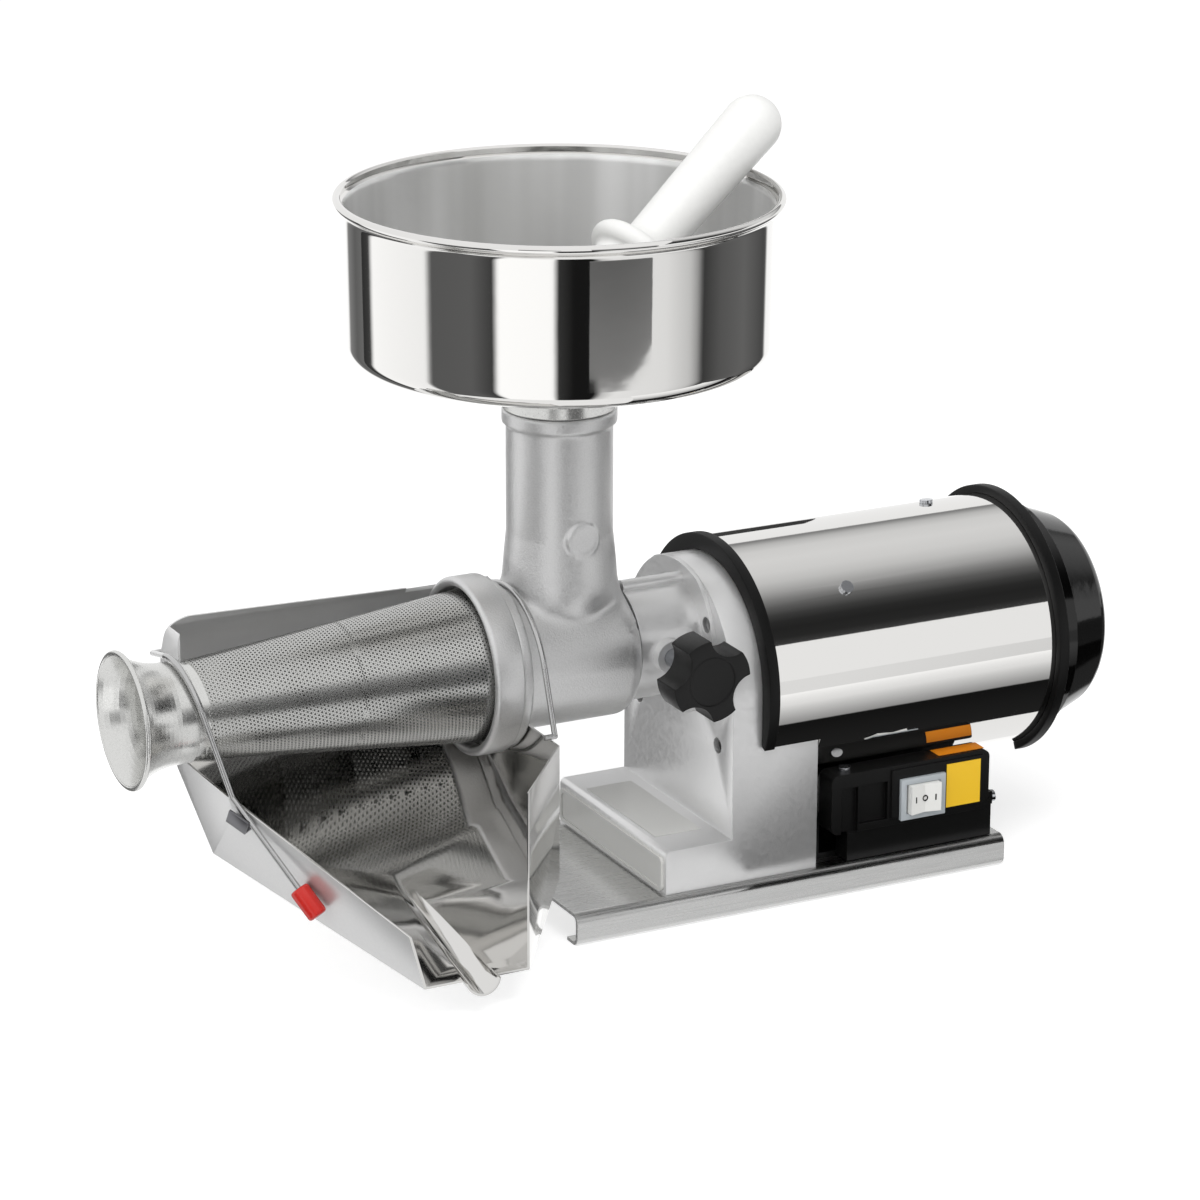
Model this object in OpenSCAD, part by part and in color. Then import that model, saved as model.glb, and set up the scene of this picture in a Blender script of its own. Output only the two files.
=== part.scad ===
// Electric tomato strainer: a feed hopper over a cast neck and barrel, an auger in a
// perforated cone, a folded juice tray, and a geared motor on a folded steel base.
// X runs along the auger towards the motor, Y is across, Z is up, all in millimetres.

/* [Layout] */
// Height of the auger axis above the table
screw_z = 138.8; // [136:0.5:142]
// Height of the motor axis above the table
motor_z = 117.6; // [115:0.5:120]

/* [Base plate] */
// Distance of the plate's front end in front of the feed neck's axis
base_front = 22.5; // [15:0.5:28]
// Length of the plate
base_len = 258; // [250:1:270]
// Width over the folded edges
base_w = 132.6; // [128:0.2:140]
// Height of the folded edges
base_h = 17.6; // [15:0.2:19]
// Thickness of the steel
base_sheet = 2; // [1.5:0.1:2.5]
// Width of the lip turned in under each edge
base_lip = 12; // [9:0.5:16]

/* [Gear housing] */
// Distance of the foot's front face behind the neck's axis
foot_front = 31.2; // [29:0.2:34]
// Distance of the upright's front face behind the neck's axis
upright_front = 70.2; // [69.5:0.1:72]
// Thickness of the upright
upright_t = 50.9; // [50:0.1:52]
// Width of the upright and foot
upright_w = 123.8; // [120:0.2:125]
// Height of the foot above the base plate
foot_h = 24.4; // [22:0.2:26]
// Thickness of the housing's walls
housing_wall = 8; // [7:0.2:9]

/* [Barrel socket] */
// Outer radius of the socket
socket_r = 31.5; // [30:0.1:33]
// Radius of the socket's flange
socket_flange_r = 43; // [41:0.2:45]
// Radius of the socket's bore
socket_bore_r = 24.2; // [23:0.1:25]

/* [Clamp knob] */
// Outer radius over the lobes
knob_r = 22; // [20:0.5:24]
// Thickness of the knob
knob_t = 20; // [16:0.5:24]
// Number of lobes
knob_lobes = 4; // [4:1:5]
// Radius of the screw in the knob
stud_r = 5; // [4:0.25:6]

/* [Motor] */
// Outer radius of the motor's frame
motor_r = 60; // [58:0.5:61]
// Length of the motor's frame
motor_len = 116; // [110:1:118]
// Radius of the rotor
rotor_r = 32.5; // [30:0.5:35]
// Radius of the motor shaft
motor_shaft_r = 7.5; // [6.5:0.1:8.5]
// Radius of the cooling fan
fan_r = 54; // [48:0.5:56]
// Number of fan blades
fan_blades = 8; // [5:1:12]

/* [Motor cover] */
// Outer radius of the polished cover
cover_r = 69.2; // [68.5:0.1:70.5]
// Thickness of the cover's sheet
cover_sheet = 1; // [0.8:0.1:1.4]
// Where the cover's front edge lies
cover_front = 91.8; // [90:0.2:94]
// Where the cover's rear edge lies
cover_rear = 264.5; // [262:0.5:265]
// Outer radius of the rear edge trim
rear_trim_r = 73.6; // [72.5:0.1:75]
// Where the fan cover's rear face lies
fan_cover_rear = 309; // [306:0.5:312]

/* [Gears] */
// Module of the first gear pair
module_1 = 1; // [0.9:0.05:1.05]
// Teeth on the motor's pinion
pinion_1_teeth = 10; // [10:1:10]
// Teeth on the first large gear
gear_1_teeth = 40; // [40:1:40]
// Module of the second gear pair
module_2 = 1.25; // [1.2:0.05:1.3]
// Teeth on the second pinion
pinion_2_teeth = 12; // [12:1:12]
// Teeth on the output gear
gear_2_teeth = 36; // [36:1:36]
// Radius of the output shaft
output_r = 10; // [9:0.1:11]

/* [Switch box] */
// Where the box starts along the machine
box_front = 127; // [125:0.5:130]
// Length of the box
box_len = 101; // [96:0.5:104]
// Height of the lid's top above the base plate
box_lid_h = 50.4; // [48:0.2:51]
// Height of the low part under the motor
box_low_h = 26; // [22:0.5:28]
// Depth of the lid
box_lid_d = 14; // [12:0.5:15]

/* [Barrel and neck] */
// Outer radius of the barrel
barrel_r = 37.5; // [36.5:0.1:38.5]
// Radius of the barrel's bore
barrel_bore_r = 32; // [30:0.2:33]
// Where the barrel's rear end lies
barrel_rear = 32.3; // [31:0.1:32.6]
// Radius of the flange behind the collar
barrel_flange_r = 45.5; // [44.8:0.1:46.5]
// Where the barrel's front face lies in front of the neck's axis
barrel_front = 42.2; // [41.5:0.1:43]
// Outer radius of the feed neck
neck_r = 27.8; // [27:0.1:28.2]
// Radius of the feed neck's bore
neck_bore_r = 24.6; // [23.5:0.1:25]
// Height of the neck's top above the table
neck_top = 271.8; // [262:0.5:276]

/* [Collar and cone] */
// Outer radius of the collar
collar_r = 47; // [46.6:0.1:48]
// Length of the collar
collar_len = 16.1; // [15:0.1:18]
// Outer radius of the cone at its large end
cone_big_r = 39.2; // [38:0.1:39.6]
// Outer radius of the cone at its small end
cone_small_r = 23.8; // [23.5:0.1:24.4]
// Where the cone's small end lies in front of the neck's axis
cone_end = 212; // [209:0.2:213]
// Thickness of the cone's sheet
cone_sheet = 1; // [0.8:0.1:1.2]
// Outer radius of the pulp nozzle's rim
nozzle_rim_r = 35.8; // [34:0.1:37]
// Where the pulp nozzle's rim lies in front of the neck's axis
nozzle_end = 244.5; // [240:0.5:250]

/* [Auger] */
// Radius of the auger's core
auger_core_r = 11; // [9:0.2:13]
// Length of one turn of the flight
auger_pitch = 34; // [28:1:40]
// Thickness of the flight
auger_flight_t = 4; // [3:0.2:5]
// Gap between the flight and the wall round it
auger_gap = 0.8; // [0.5:0.05:1.2]

/* [Hopper] */
// Outer radius over the rolled rim
hopper_rim_r = 115; // [105:0.5:120]
// Radius of the straight wall
hopper_wall_r = 110; // [100:0.5:112]
// Height of the rim above the table
hopper_top = 383.7; // [370:0.5:390]
// Height where the wall meets the sloping bottom
hopper_corner_z = 308; // [304:0.5:315]
// Height where the bottom meets the spout
hopper_spout_z = 284; // [281:0.5:290]
// Thickness of the steel
hopper_sheet = 1.2; // [0.8:0.1:1.5]

/* [Pestle] */
// Radius of the handle's rounded end
pestle_end_r = 15.5; // [14:0.5:17]
// Radius of the handle next to the guard
pestle_neck_r = 13.5; // [12:0.5:15]
// Radius of the guard
pestle_guard_r = 26.5; // [25:0.5:29]
// Thickness of the guard
pestle_guard_t = 11; // [8:0.5:12]
// Length of the handle
pestle_handle_len = 115.9; // [100:0.5:130]
// Radius of the pushing head
pestle_head_r = 20; // [17:0.5:20.5]
// Length of the pushing head
pestle_head_len = 80; // [70:1:90]

/* [Juice tray] */
// Inner radius of the tray's rounded wall, about the auger axis
tray_r = 50; // [49:0.1:52]
// Thickness of the tray's sheet
tray_sheet = 1.2; // [0.9:0.1:1.5]
// Where the tray's front wall lies in front of the neck's axis
tray_front = 202; // [198:0.5:204]
// Where the tray's back wall lies in front of the neck's axis
tray_back = 35.2; // [34.8:0.1:35.6]
// How far the lip lies in front of the auger axis, across
tray_reach = 125; // [115:0.5:128]
// Height of the lip above the table
tray_lip_z = 22; // [20:0.5:28]
// Height of the tray's back panel above the table
tray_panel_z = 115; // [108:0.5:118]
// Height of the tray's front wall above the table
tray_wall_z = 104; // [98:0.5:107]

/* [Wire bails] */
// Radius of the bail wire
wire_r = 1.5; // [1.2:0.05:1.7]
// Radius of the front bail's bend over the nozzle
front_bail_r = 29.5; // [29:0.1:30.5]
// Radius of the rear bail's bend over the barrel
rear_bail_r = 47.5; // [44:0.1:48]

/* [Hidden] */
$fn = 72;

// Clearances and the overrun of every cut
cut = 1;
part_gap = 0.3;
fit_gap = 0.1;
run_gap = 0.05;
bend_swell = 0.06;

// Colours
steel = "silver";
cast = "lightgray";
black = [0.12, 0.12, 0.12];
white = [0.95, 0.95, 0.93];
brass = "goldenrod";

// Base plate
base_bend = 5;
base_top = base_h;

// Gear housing
upright_r = upright_w / 2;
upright_rear = upright_front + upright_t;
foot_top = base_top + foot_h;
housing_inner_r = upright_r - housing_wall;
front_wall_t = 10;
gear_room_front = upright_front + front_wall_t;
foot_roof_t = 6;
foot_edge_r = 3;
foot_bolt_r = 4;
foot_bolt_inset = 14;
foot_bolt_len = 12;
foot_bolt_head_r = 6.5;
foot_bolt_head_h = 5.3;
foot_boss_r = 9;
screw_top_y = 35.5;
screw_top_z = 35.7;
screw_low_y = 44.6;
screw_low_z = 28.5;
motor_screw_r = 2.5;
motor_screw_head_r = 4;
motor_screw_head_len = 5;
motor_screw_sink = 3;
screw_places = [[screw_top_y, screw_top_z], [-screw_top_y, screw_top_z],
                [screw_low_y, -screw_low_z], [-screw_low_y, -screw_low_z]];
screw_boss_r = 7;

// Badge and label on the foot
badge_t = 1.6;
badge_margin = 2.5;
badge_rim = 2;
badge_floor_t = 0.9;
badge_corner_r = 3;
label_t = 0.3;
foot_label_l = 27;
foot_label_w = 80;
foot_label_inset = 5;
foot_label_x = foot_front + foot_label_inset;

// Barrel socket
socket_front = barrel_rear + part_gap;
socket_flange_t = 2.4;
socket_floor_t = 6;
clamp_back = 3.3;
socket_floor_x = upright_front - socket_flange_t - socket_floor_t;
seal_r = 17;
rib_r = 3.6;
rib_angle = 100;
rib_out = 0.8;
rib_mid_r = socket_r + rib_out;
boss_r = 9;
boss_out = 5;
spigot_r = socket_bore_r - fit_gap;
clamp_x = (barrel_rear + upright_front) / 2 - clamp_back;
knob_face_y = -80;
knob_back_y = knob_face_y + knob_t;
knob_hub_r = 9;
knob_hub_t = 3;
knob_dish_r = 13;
knob_dish_d = 0.8;
knob_valley_r = 12.2;
knob_valley_d = 26.8;
knob_turn = 20.5;
pad_r = 4.2;
pad_t = 4;
pad_end_y = -(spigot_r + run_gap);
stud_end_y = pad_end_y - pad_t;

// Output and lay shafts
out_front = 44;
output_rear_r = 7.5;
bush_wall = 3;
drive_square = 11;
drive_socket_d = 18;
drive_tang = 16;
rear_seat_d = 2.5;
gear_side_gap = 8;
gear_step = 6;
shaft_nose = 3;
motor_plate_t = 8;
pitch_r_1a = module_1 * pinion_1_teeth / 2;
pitch_r_1b = module_1 * gear_1_teeth / 2;
pitch_r_2a = module_2 * pinion_2_teeth / 2;
pitch_r_2b = module_2 * gear_2_teeth / 2;
mesh_gap = 0.15;
centres_1 = pitch_r_1a + pitch_r_1b + mesh_gap;
centres_2 = pitch_r_2a + pitch_r_2b + mesh_gap;
axis_drop = screw_z - motor_z;
lay_rise = (centres_1 * centres_1 - centres_2 * centres_2 + axis_drop * axis_drop) / (2 * axis_drop);
lay_y = sqrt(centres_1 * centres_1 - lay_rise * lay_rise);
lay_z = motor_z + lay_rise;
lay_shaft_r = 5;
lay_seat_d = 5;
gear_w_1 = 8;
gear_w_2 = 10;
gear_2_x = gear_room_front + gear_side_gap;
gear_1_x = gear_2_x + gear_w_2 + gear_step;
tooth_slack = 0.12;
tooth_tip_share = 0.9;
tooth_root_share = 1.2;
tip_half_share = 0.13;
root_half_share = 0.4;
pinion_wall = 1.4;

// Motor
bell_front = upright_rear;
frame_front = bell_front + motor_plate_t;
frame_rear = frame_front + motor_len;
frame_wall = 3;
rear_bell_t = 8;
bell_step = 1.3;
rear_bell_r = motor_r + bell_step;
air_gap = 0.5;
stack_inset = 17;
winding_len = 12;
winding_r = 8;
bearing_r = 17.5;
bearing_w = 11;
bearing_seat = 3;
post_r = 4;
motor_shaft_front = gear_1_x - shaft_nose;
shaft_rear_gap = 14;

// Fan and fan cover
fan_hub_r = 14;
fan_disc_t = 2.5;
fan_blade_w = 13;
fan_blade_t = 2;
fan_gap = 8;
fan_front = frame_rear + rear_bell_t + fan_gap;
fan_cover_wall = 2.5;
fan_skirt_r = 65.3;
fan_skirt_inset = 3;
fan_skirt_front = frame_rear + fan_skirt_inset;
fan_round_from = 62;
fan_base_r = 64.6;
fan_step_r = 63.6;
fan_step_x = 280;
fan_step_t = 1.6;
fan_end_r = 55.5;
fan_round_r = 14;
vent_count = 16;
vent_w = 4;
vent_in_r = 22;
vent_out_r = 44;

// Motor cover and trims
notch_angle = 23;
gap_angle = 25;
cover_inner_r = cover_r - cover_sheet;
trim_front = 87;
trim_rear = 93;
trim_out = 1.8;
rear_trim_front = 262.5;
rear_trim_back = 268.5;
rear_trim_in = 66;
cover_screw_r = 2;
cover_screw_head_r = 3.6;
cover_screw_head_h = 1.8;
cover_screw_len = 9;
cover_screw_a_x = 143.7;
cover_screw_b_x = 226;
cover_screw_a_angle = 135;
cover_screw_b_angle = 83;
cover_screws_at = [[cover_screw_a_x, cover_screw_a_angle],
                   [cover_screw_a_x, 180 - cover_screw_a_angle],
                   [cover_screw_b_x, cover_screw_b_angle]];

// Switch box
box_rear = box_front + box_len;
box_near = 50;
box_far = 34;
box_wall = 2.5;
lid_near = box_near + box_lid_d;
lid_top = base_top + box_lid_h;
box_low_top = base_top + box_low_h;
lid_bottom = base_top + part_gap;
skirt_h = 17;
skirt_inset = 13;
lid_skirt_top = base_top + skirt_h;
skirt_step = 2;
skirt_from = box_front + skirt_inset;
skirt_to = box_rear + skirt_step / 2;
lid_from = box_front + skirt_step;
lid_to = box_rear - skirt_step;
lid_corner_r = 4;
lid_lug_x = 140;
lid_lug_r = 5;
lid_lug_cut = 3;
recess_from = 146;
recess_to = 163;
recess_d = 3;
panel_from = 165;
panel_to = 222;
panel_out = 1.2;
lid_screw_r = 1.8;
lid_screw_head_r = 3.4;
lid_screw_head_h = 2;
lid_screw_len = 12;
capacitor_r = 10;
capacitor_len = 46;
capacitor_x = 140;
capacitor_y = 8;
gland_r = 8;
gland_nut_r = 10;
gland_nut_t = 5;
gland_len = 14;
gland_bore_r = 3.6;
gland_tip_r = 6;
gland_y = 4;
gland_rise = 13;
gland_z = base_top + gland_rise;

// Rocker switch
rocker_x = 183.2;
rocker_z = 49;
rocker_l = 22.6;
rocker_h = 18.4;
bezel_l = 27.2;
bezel_h = 23;
bezel_t = 2.4;
rocker_out = 3.4;
rocker_tilt_share = 0.42;
rocker_depth = 9;
switch_body_d = 10;
rocker_pin_r = 1.2;
rocker_side = 0.9;
pivot_y = -(box_near + box_lid_d + panel_out) + cut;
yellow_l = 21;
yellow_h = 24.5;
yellow_x = 198.6;
yellow_z = 39.6;
amber_l = 28;
amber_w = 9;
amber_x = 196;

// Barrel and neck
flange_t = 5.4;
barrel_round = 8;
rear_plug_t = 7;
spigot_end = socket_floor_x - part_gap;
nose_r = 44.5;
nose_len = 5.8;
neck_lip_r = 29.9;
neck_lip_h = 8;
neck_groove = 1;
flare_r = 31.2;
flare_low = 171;
flare_high = 206;
disc_r = 9;
disc_z = 206.9;
disc_out = 0.9;
disc_rim = 1.2;
disc_sink = 0.5;

// Collar, cone and nozzle
collar_front = barrel_front + collar_len;
collar_bore_r = 42;
collar_recess_r = nose_r + fit_gap;
collar_edge = 1.5;
cone_flange_t = 2;
cone_flange_r = nose_r - part_gap;
cone_start = barrel_front + nose_len;
nozzle_wall = 1.6;
nozzle_spigot_r = cone_small_r - cone_sheet - part_gap;
nozzle_spigot_len = 7;
nozzle_spigot_from = cone_end - nozzle_spigot_len;
nozzle_spigot_wall = 1.2;
nozzle_neck_r = 26.2;
nozzle_flare_from = 219;
rim_bead_r = 1.4;

// Auger
auger_tip = cone_end - auger_flight_t;
auger_steps = 15;
auger_rear = barrel_rear - rear_plug_t - cut;
journal_r = 12;

// Hopper
hopper_bead_r = 2.2;
hopper_corner_r = 9;
hopper_spout_r = 24.2;
hopper_spout_end = 240;
spout_bend = 5;
hopper_taper = 0.8;

// Pestle: where its axis passes, and how it leans
pestle_x = 37;
pestle_y = -12;
pestle_z = 347.3;
pestle_swing = 15.4;
pestle_lean = 35.5;
pestle_fillet = 8;
guard_round = 5;
head_round = 4;

// Juice tray, from the front, seen from above
bend_y = -16;
bend_z = 67.4;
wall_top_angle = 53;
floor_angle = atan((bend_z - tray_lip_z) / (tray_reach + bend_y));
slope_angle = 35;
arc_end_angle = -(90 - slope_angle);
lip_left = 135.5;
lip_right = 80;
back_near = 71;
front_fold_y = -15.7;
front_lean_y = -36.2;
wall_front_z = 177.5;
wall_rear_z = 171;
wall_corner_r = 12;
rear_cut_r = barrel_r + 2;
panel_end_h = 27.5;
spout_x = 106;
spout_start_x = 121;
spout_start_y = -50;
spout_r = 10;
spout_past = 3;
spout_drop = 7;
tab_from = 6;
tab_w = 12;
tab_t = 1.2;
tab_out = 7.6;
tab_h = 8.5;

// Wire bails
eye_r = 3.2;
eye_len = 13;
eye_angle = 15;
eye_inset = 2;
rear_eye_inset = 3;
eye_out = tray_r + tray_sheet + eye_r;
eye_y = eye_out * cos(eye_angle);
eye_z = screw_z + eye_out * sin(eye_angle);
front_eye_x = -tray_front + eye_inset;
rear_eye_x = -tray_back - eye_len - rear_eye_inset;
front_bail_foot_x = -202.5;
front_bail_foot_y = -41.6;
front_bail_foot_z = 105;
front_bail_slope = 0.23;
cap_x = -177.4;
cap_y = -76.8;
cap_z = 57.3;
cap_r = 5.2;
cap_len = 17;
rear_bail_x = -tray_back + wire_r + part_gap;
rear_bail_y = -5.5;
rear_bail_z = 133.5;
rear_foot_y = -62;
rear_foot_z = tray_panel_z + wire_r + part_gap;
rear_hook = 6;

// The model's origin lies under the middle of the whole machine's box
reach_front = nozzle_end;
shift_x = (reach_front - fan_cover_rear) / 2;
reach_near = tray_reach + spout_past;
shift_y = (reach_near - hopper_rim_r) / 2;

module seat() {
    translate([shift_x, shift_y, 0]) children();
}

module along_x(x, y, z) {
    translate([x, y, z]) rotate([0, 90, 0]) children();
}

module on_screw_axis(x) {
    along_x(x, 0, screw_z) children();
}

module on_motor_axis(x) {
    along_x(x, 0, motor_z) children();
}

module towards_viewer(x, y, z) {
    translate([x, y, z]) rotate([90, 0, 0]) children();
}

// A revolved outline about X, its points given as [distance along X, radius]
module turned_x(z, outline) {
    translate([0, 0, z]) rotate([0, 90, 0]) rotate_extrude() polygon([for (p = outline) [p[1], p[0]]]);
}

module ring_x(x, z, outer, inner, length) {
    along_x(x, 0, z) difference() {
        cylinder(r = outer, h = length);
        translate([0, 0, -cut]) cylinder(r = inner, h = length + 2 * cut);
    }
}

// A box given by its lowest and highest corners
module block(low, high) {
    translate(low) cube([for (i = [0:2]) high[i] - low[i]]);
}

module rounded_rect(width, height, radius) {
    translate([radius - width / 2, 0]) square([width - 2 * radius, height]);
    translate([-width / 2, radius]) square([width, height - 2 * radius]);
    for (x = [radius - width / 2, width / 2 - radius], y = [radius, height - radius])
        translate([x, y]) circle(r = radius);
}

// A straight piece of round wire between two points
module wire_line(from, to) {
    run = to - from;
    flat = norm([run[0], run[1]]);
    translate(from) rotate([0, atan2(flat, run[2]), atan2(run[1], run[0])])
        cylinder(r = wire_r, h = norm(run), $fn = 24);
}

// The bend between two straight pieces of wire
module wire_bend(at) {
    translate(at) sphere(r = wire_r + bend_swell, $fn = 24);
}

function arc(cx, cy, r, from, to, steps) =
    [for (i = [0:steps]) [cx + r * cos(from + (to - from) * i / steps),
                          cy + r * sin(from + (to - from) * i / steps)]];

// A spur gear's outline: a flat-sided tooth that is narrower at the tip
function tooth_points(teeth, size, slack, turn) =
    let (pitch_r = size * teeth / 2, root_r = pitch_r - size * tooth_root_share,
         tip_r = pitch_r + size * tooth_tip_share, step = 360 / teeth)
    [for (i = [0:teeth - 1], q = [[-root_half_share, root_r], [-tip_half_share, tip_r],
                                    [tip_half_share, tip_r], [root_half_share, root_r]])
        let (trim = slack / q[1] * 180 / PI, side = sign(q[0]))
        let (a = turn + step * (i + q[0]) - side * trim)
        [q[1] * cos(a), q[1] * sin(a)]];

// Gear outlines are drawn with their first axis up, so a turn of 0 puts a tooth at the top
module gear_x(x, y, z, teeth, size, width, bore, turn) {
    translate([x, y, z]) rotate([90, 0, 90]) linear_extrude(width) difference() {
        polygon(tooth_points(teeth, size, tooth_slack, turn));
        circle(r = bore);
    }
}

module base_plate() {
    color(steel) difference() {
        translate([-base_front, 0, 0]) rotate([90, 0, 90]) linear_extrude(base_len) difference() {
            rounded_rect(base_w, base_h, base_bend);
            translate([0, base_sheet])
                rounded_rect(base_w - 2 * base_sheet, base_h - 2 * base_sheet, base_bend - base_sheet);
            translate([base_lip - base_w / 2, -cut])
                square([base_w - 2 * base_lip, base_sheet + 2 * cut]);
        }
        foot_bolt_places() translate([0, 0, base_top - base_sheet - cut])
            cylinder(r = foot_bolt_r + part_gap, h = base_sheet + 2 * cut);
    }
}

module foot_bolt_places() {
    for (x = [foot_front + foot_bolt_inset, upright_rear - foot_bolt_inset], side = [-1, 1])
        translate([x, side * (upright_r - foot_bolt_inset), 0]) children();
}

module motor_screw_places() {
    for (p = screw_places) translate([0, p[0], motor_z + p[1]]) children();
}

module gear_housing() {
    color(cast) difference() {
        union() {
            block([foot_front, -upright_r, base_top],
                  [upright_rear, upright_r, foot_top - foot_edge_r]);
            block([foot_front + foot_edge_r, -upright_r, base_top],
                  [upright_rear, upright_r, foot_top]);
            towards_viewer(foot_front + foot_edge_r, upright_r, foot_top - foot_edge_r)
                cylinder(r = foot_edge_r, h = upright_w);
            block([upright_front, -upright_r, base_top], [upright_rear, upright_r, motor_z]);
            on_motor_axis(upright_front) cylinder(r = upright_r, h = upright_t);
        }
        difference() {
            on_motor_axis(gear_room_front) cylinder(r = housing_inner_r, h = upright_t);
            motor_screw_places() along_x(gear_room_front, 0, 0)
                cylinder(r = screw_boss_r, h = upright_t);
        }
        on_screw_axis(upright_front - cut)
            cylinder(r = output_r + bush_wall, h = front_wall_t + 2 * cut);
        along_x(gear_room_front - lay_seat_d, lay_y, lay_z)
            cylinder(r = lay_shaft_r + run_gap, h = upright_t);
        difference() {
            block([foot_front + housing_wall, housing_wall - upright_r, base_top - cut],
                  [upright_rear - housing_wall, upright_r - housing_wall, foot_top - foot_roof_t]);
            foot_bolt_places() cylinder(r = foot_boss_r, h = foot_top);
        }
        foot_bolt_places() translate([0, 0, base_top - cut])
            cylinder(r = foot_bolt_r, h = foot_bolt_len + cut);
        motor_screw_places() {
            along_x(upright_front - cut, 0, 0)
                cylinder(r = motor_screw_r + part_gap, h = upright_t + 2 * cut);
            along_x(upright_front - cut, 0, 0)
                cylinder(r = motor_screw_head_r + part_gap,
                         h = motor_screw_sink + motor_screw_head_len + cut);
        }
    }
}

module foot_bolts() {
    color(steel) foot_bolt_places() {
        translate([0, 0, base_top - base_sheet])
            cylinder(r = foot_bolt_r - run_gap, h = base_sheet + foot_bolt_len);
        translate([0, 0, base_top - base_sheet - foot_bolt_head_h])
            cylinder(r = foot_bolt_head_r, h = foot_bolt_head_h, $fn = 6);
    }
}

module badge_plate() {
    badge_w = upright_w - 2 * badge_margin;
    badge_h = foot_h - foot_edge_r - badge_margin;
    color(white) translate([foot_front - badge_t, 0, base_top + badge_margin / 2]) rotate([90, 0, 90])
        difference() {
        linear_extrude(badge_t) rounded_rect(badge_w, badge_h, badge_corner_r);
        translate([0, badge_rim, -cut]) linear_extrude(badge_t - badge_floor_t + cut)
            rounded_rect(badge_w - 2 * badge_rim, badge_h - 2 * badge_rim, badge_corner_r);
    }
}

module foot_label() {
    color(white) block([foot_label_x, -foot_label_w / 2, foot_top],
                       [foot_label_x + foot_label_l, foot_label_w / 2, foot_top + label_t]);
}

module barrel_socket() {
    tube_end = upright_front - socket_flange_t;
    color(cast) difference() {
        union() {
            on_screw_axis(socket_front) cylinder(r = socket_r, h = upright_front - socket_front);
            intersection() {
                on_screw_axis(tube_end) cylinder(r = socket_flange_r, h = socket_flange_t);
                on_motor_axis(tube_end - cut) cylinder(r = upright_r, h = socket_flange_t + 2 * cut);
            }
            along_x(socket_front, rib_mid_r * cos(rib_angle), screw_z + rib_mid_r * sin(rib_angle))
                cylinder(r = rib_r, h = tube_end - socket_front);
            towards_viewer(clamp_x, 0, screw_z) cylinder(r = boss_r, h = socket_r + boss_out);
        }
        on_screw_axis(socket_front - cut)
            cylinder(r = socket_bore_r, h = socket_floor_x - socket_front + cut);
        on_screw_axis(socket_front) cylinder(r = seal_r, h = upright_front);
        towards_viewer(clamp_x, 0, screw_z)
            cylinder(r = stud_r + run_gap, h = socket_r + boss_out + cut);
        motor_screw_places() along_x(tube_end - cut, 0, 0)
            cylinder(r = motor_screw_head_r + part_gap, h = socket_flange_t + 2 * cut);
    }
}

module shaft_seal() {
    color(black) ring_x(socket_floor_x, screw_z, seal_r, output_r + run_gap,
                        upright_front - socket_floor_x);
}

module motor_screws() {
    head_x = upright_front + motor_screw_sink;
    color(steel) motor_screw_places() {
        along_x(head_x, 0, 0) difference() {
            cylinder(r = motor_screw_head_r, h = motor_screw_head_len);
            translate([0, 0, -cut]) cylinder(r = motor_screw_r, h = motor_screw_head_len / 2 + cut,
                                             $fn = 6);
        }
        along_x(head_x + motor_screw_head_len, 0, 0)
            cylinder(r = motor_screw_r,
                     h = upright_rear + motor_plate_t / 2 - head_x - motor_screw_head_len);
    }
}

module clamp_pad() {
    color(brass) towards_viewer(clamp_x, pad_end_y, screw_z) cylinder(r = pad_r, h = pad_t - run_gap);
}

module clamp_stud() {
    color(steel) towards_viewer(clamp_x, stud_end_y, screw_z)
        cylinder(r = stud_r, h = stud_end_y - knob_back_y + knob_t / 2);
}

module clamp_knob() {
    color(black) towards_viewer(clamp_x, knob_back_y, screw_z) difference() {
        union() {
            linear_extrude(knob_t) difference() {
                circle(r = knob_r);
                for (i = [0:knob_lobes - 1]) rotate([0, 0, knob_turn + (i + 0.5) * 360 / knob_lobes])
                    translate([knob_valley_d, 0]) circle(r = knob_valley_r);
            }
            translate([0, 0, -knob_hub_t]) cylinder(r = knob_hub_r, h = knob_hub_t);
        }
        translate([0, 0, -knob_hub_t - cut]) cylinder(r = stud_r, h = knob_t / 2 + knob_hub_t + cut);
        translate([0, 0, knob_t - knob_dish_d]) cylinder(r = knob_dish_r, h = knob_dish_d + cut);
    }
}

module output_shaft() {
    journal_x = gear_2_x + gear_w_2 + part_gap;
    color(steel) on_screw_axis(0) difference() {
        union() {
            translate([0, 0, out_front]) cylinder(r = output_r, h = journal_x - out_front);
            translate([0, 0, journal_x]) cylinder(r = output_rear_r,
                                                  h = upright_rear + rear_seat_d - journal_x);
        }
        translate([0, 0, out_front + drive_socket_d / 2])
            cube([drive_square + 2 * fit_gap, drive_square + 2 * fit_gap, drive_socket_d + cut],
                 center = true);
    }
}

module output_gear() {
    color(brass) gear_x(gear_2_x, 0, screw_z, gear_2_teeth, module_2, gear_w_2, output_r, gear_2_turn);
}

module output_bushes() {
    color(brass) {
        ring_x(upright_front, screw_z, output_r + bush_wall, output_r + run_gap, front_wall_t);
        ring_x(upright_rear, screw_z, output_rear_r + bush_wall, output_rear_r + run_gap, rear_seat_d);
    }
}

// Turn of each gear that puts a tooth of one in a gap of the other along the line of centres
lay_from_motor = atan2(lay_rise, lay_y);
lay_from_screw = atan2(lay_rise - axis_drop, lay_y);
gear_1_turn = lay_from_motor + 180;
pinion_1_turn = lay_from_motor + 180 / pinion_1_teeth;
pinion_2_turn = lay_from_screw + 180;
gear_2_turn = lay_from_screw + 180 / gear_2_teeth;

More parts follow.
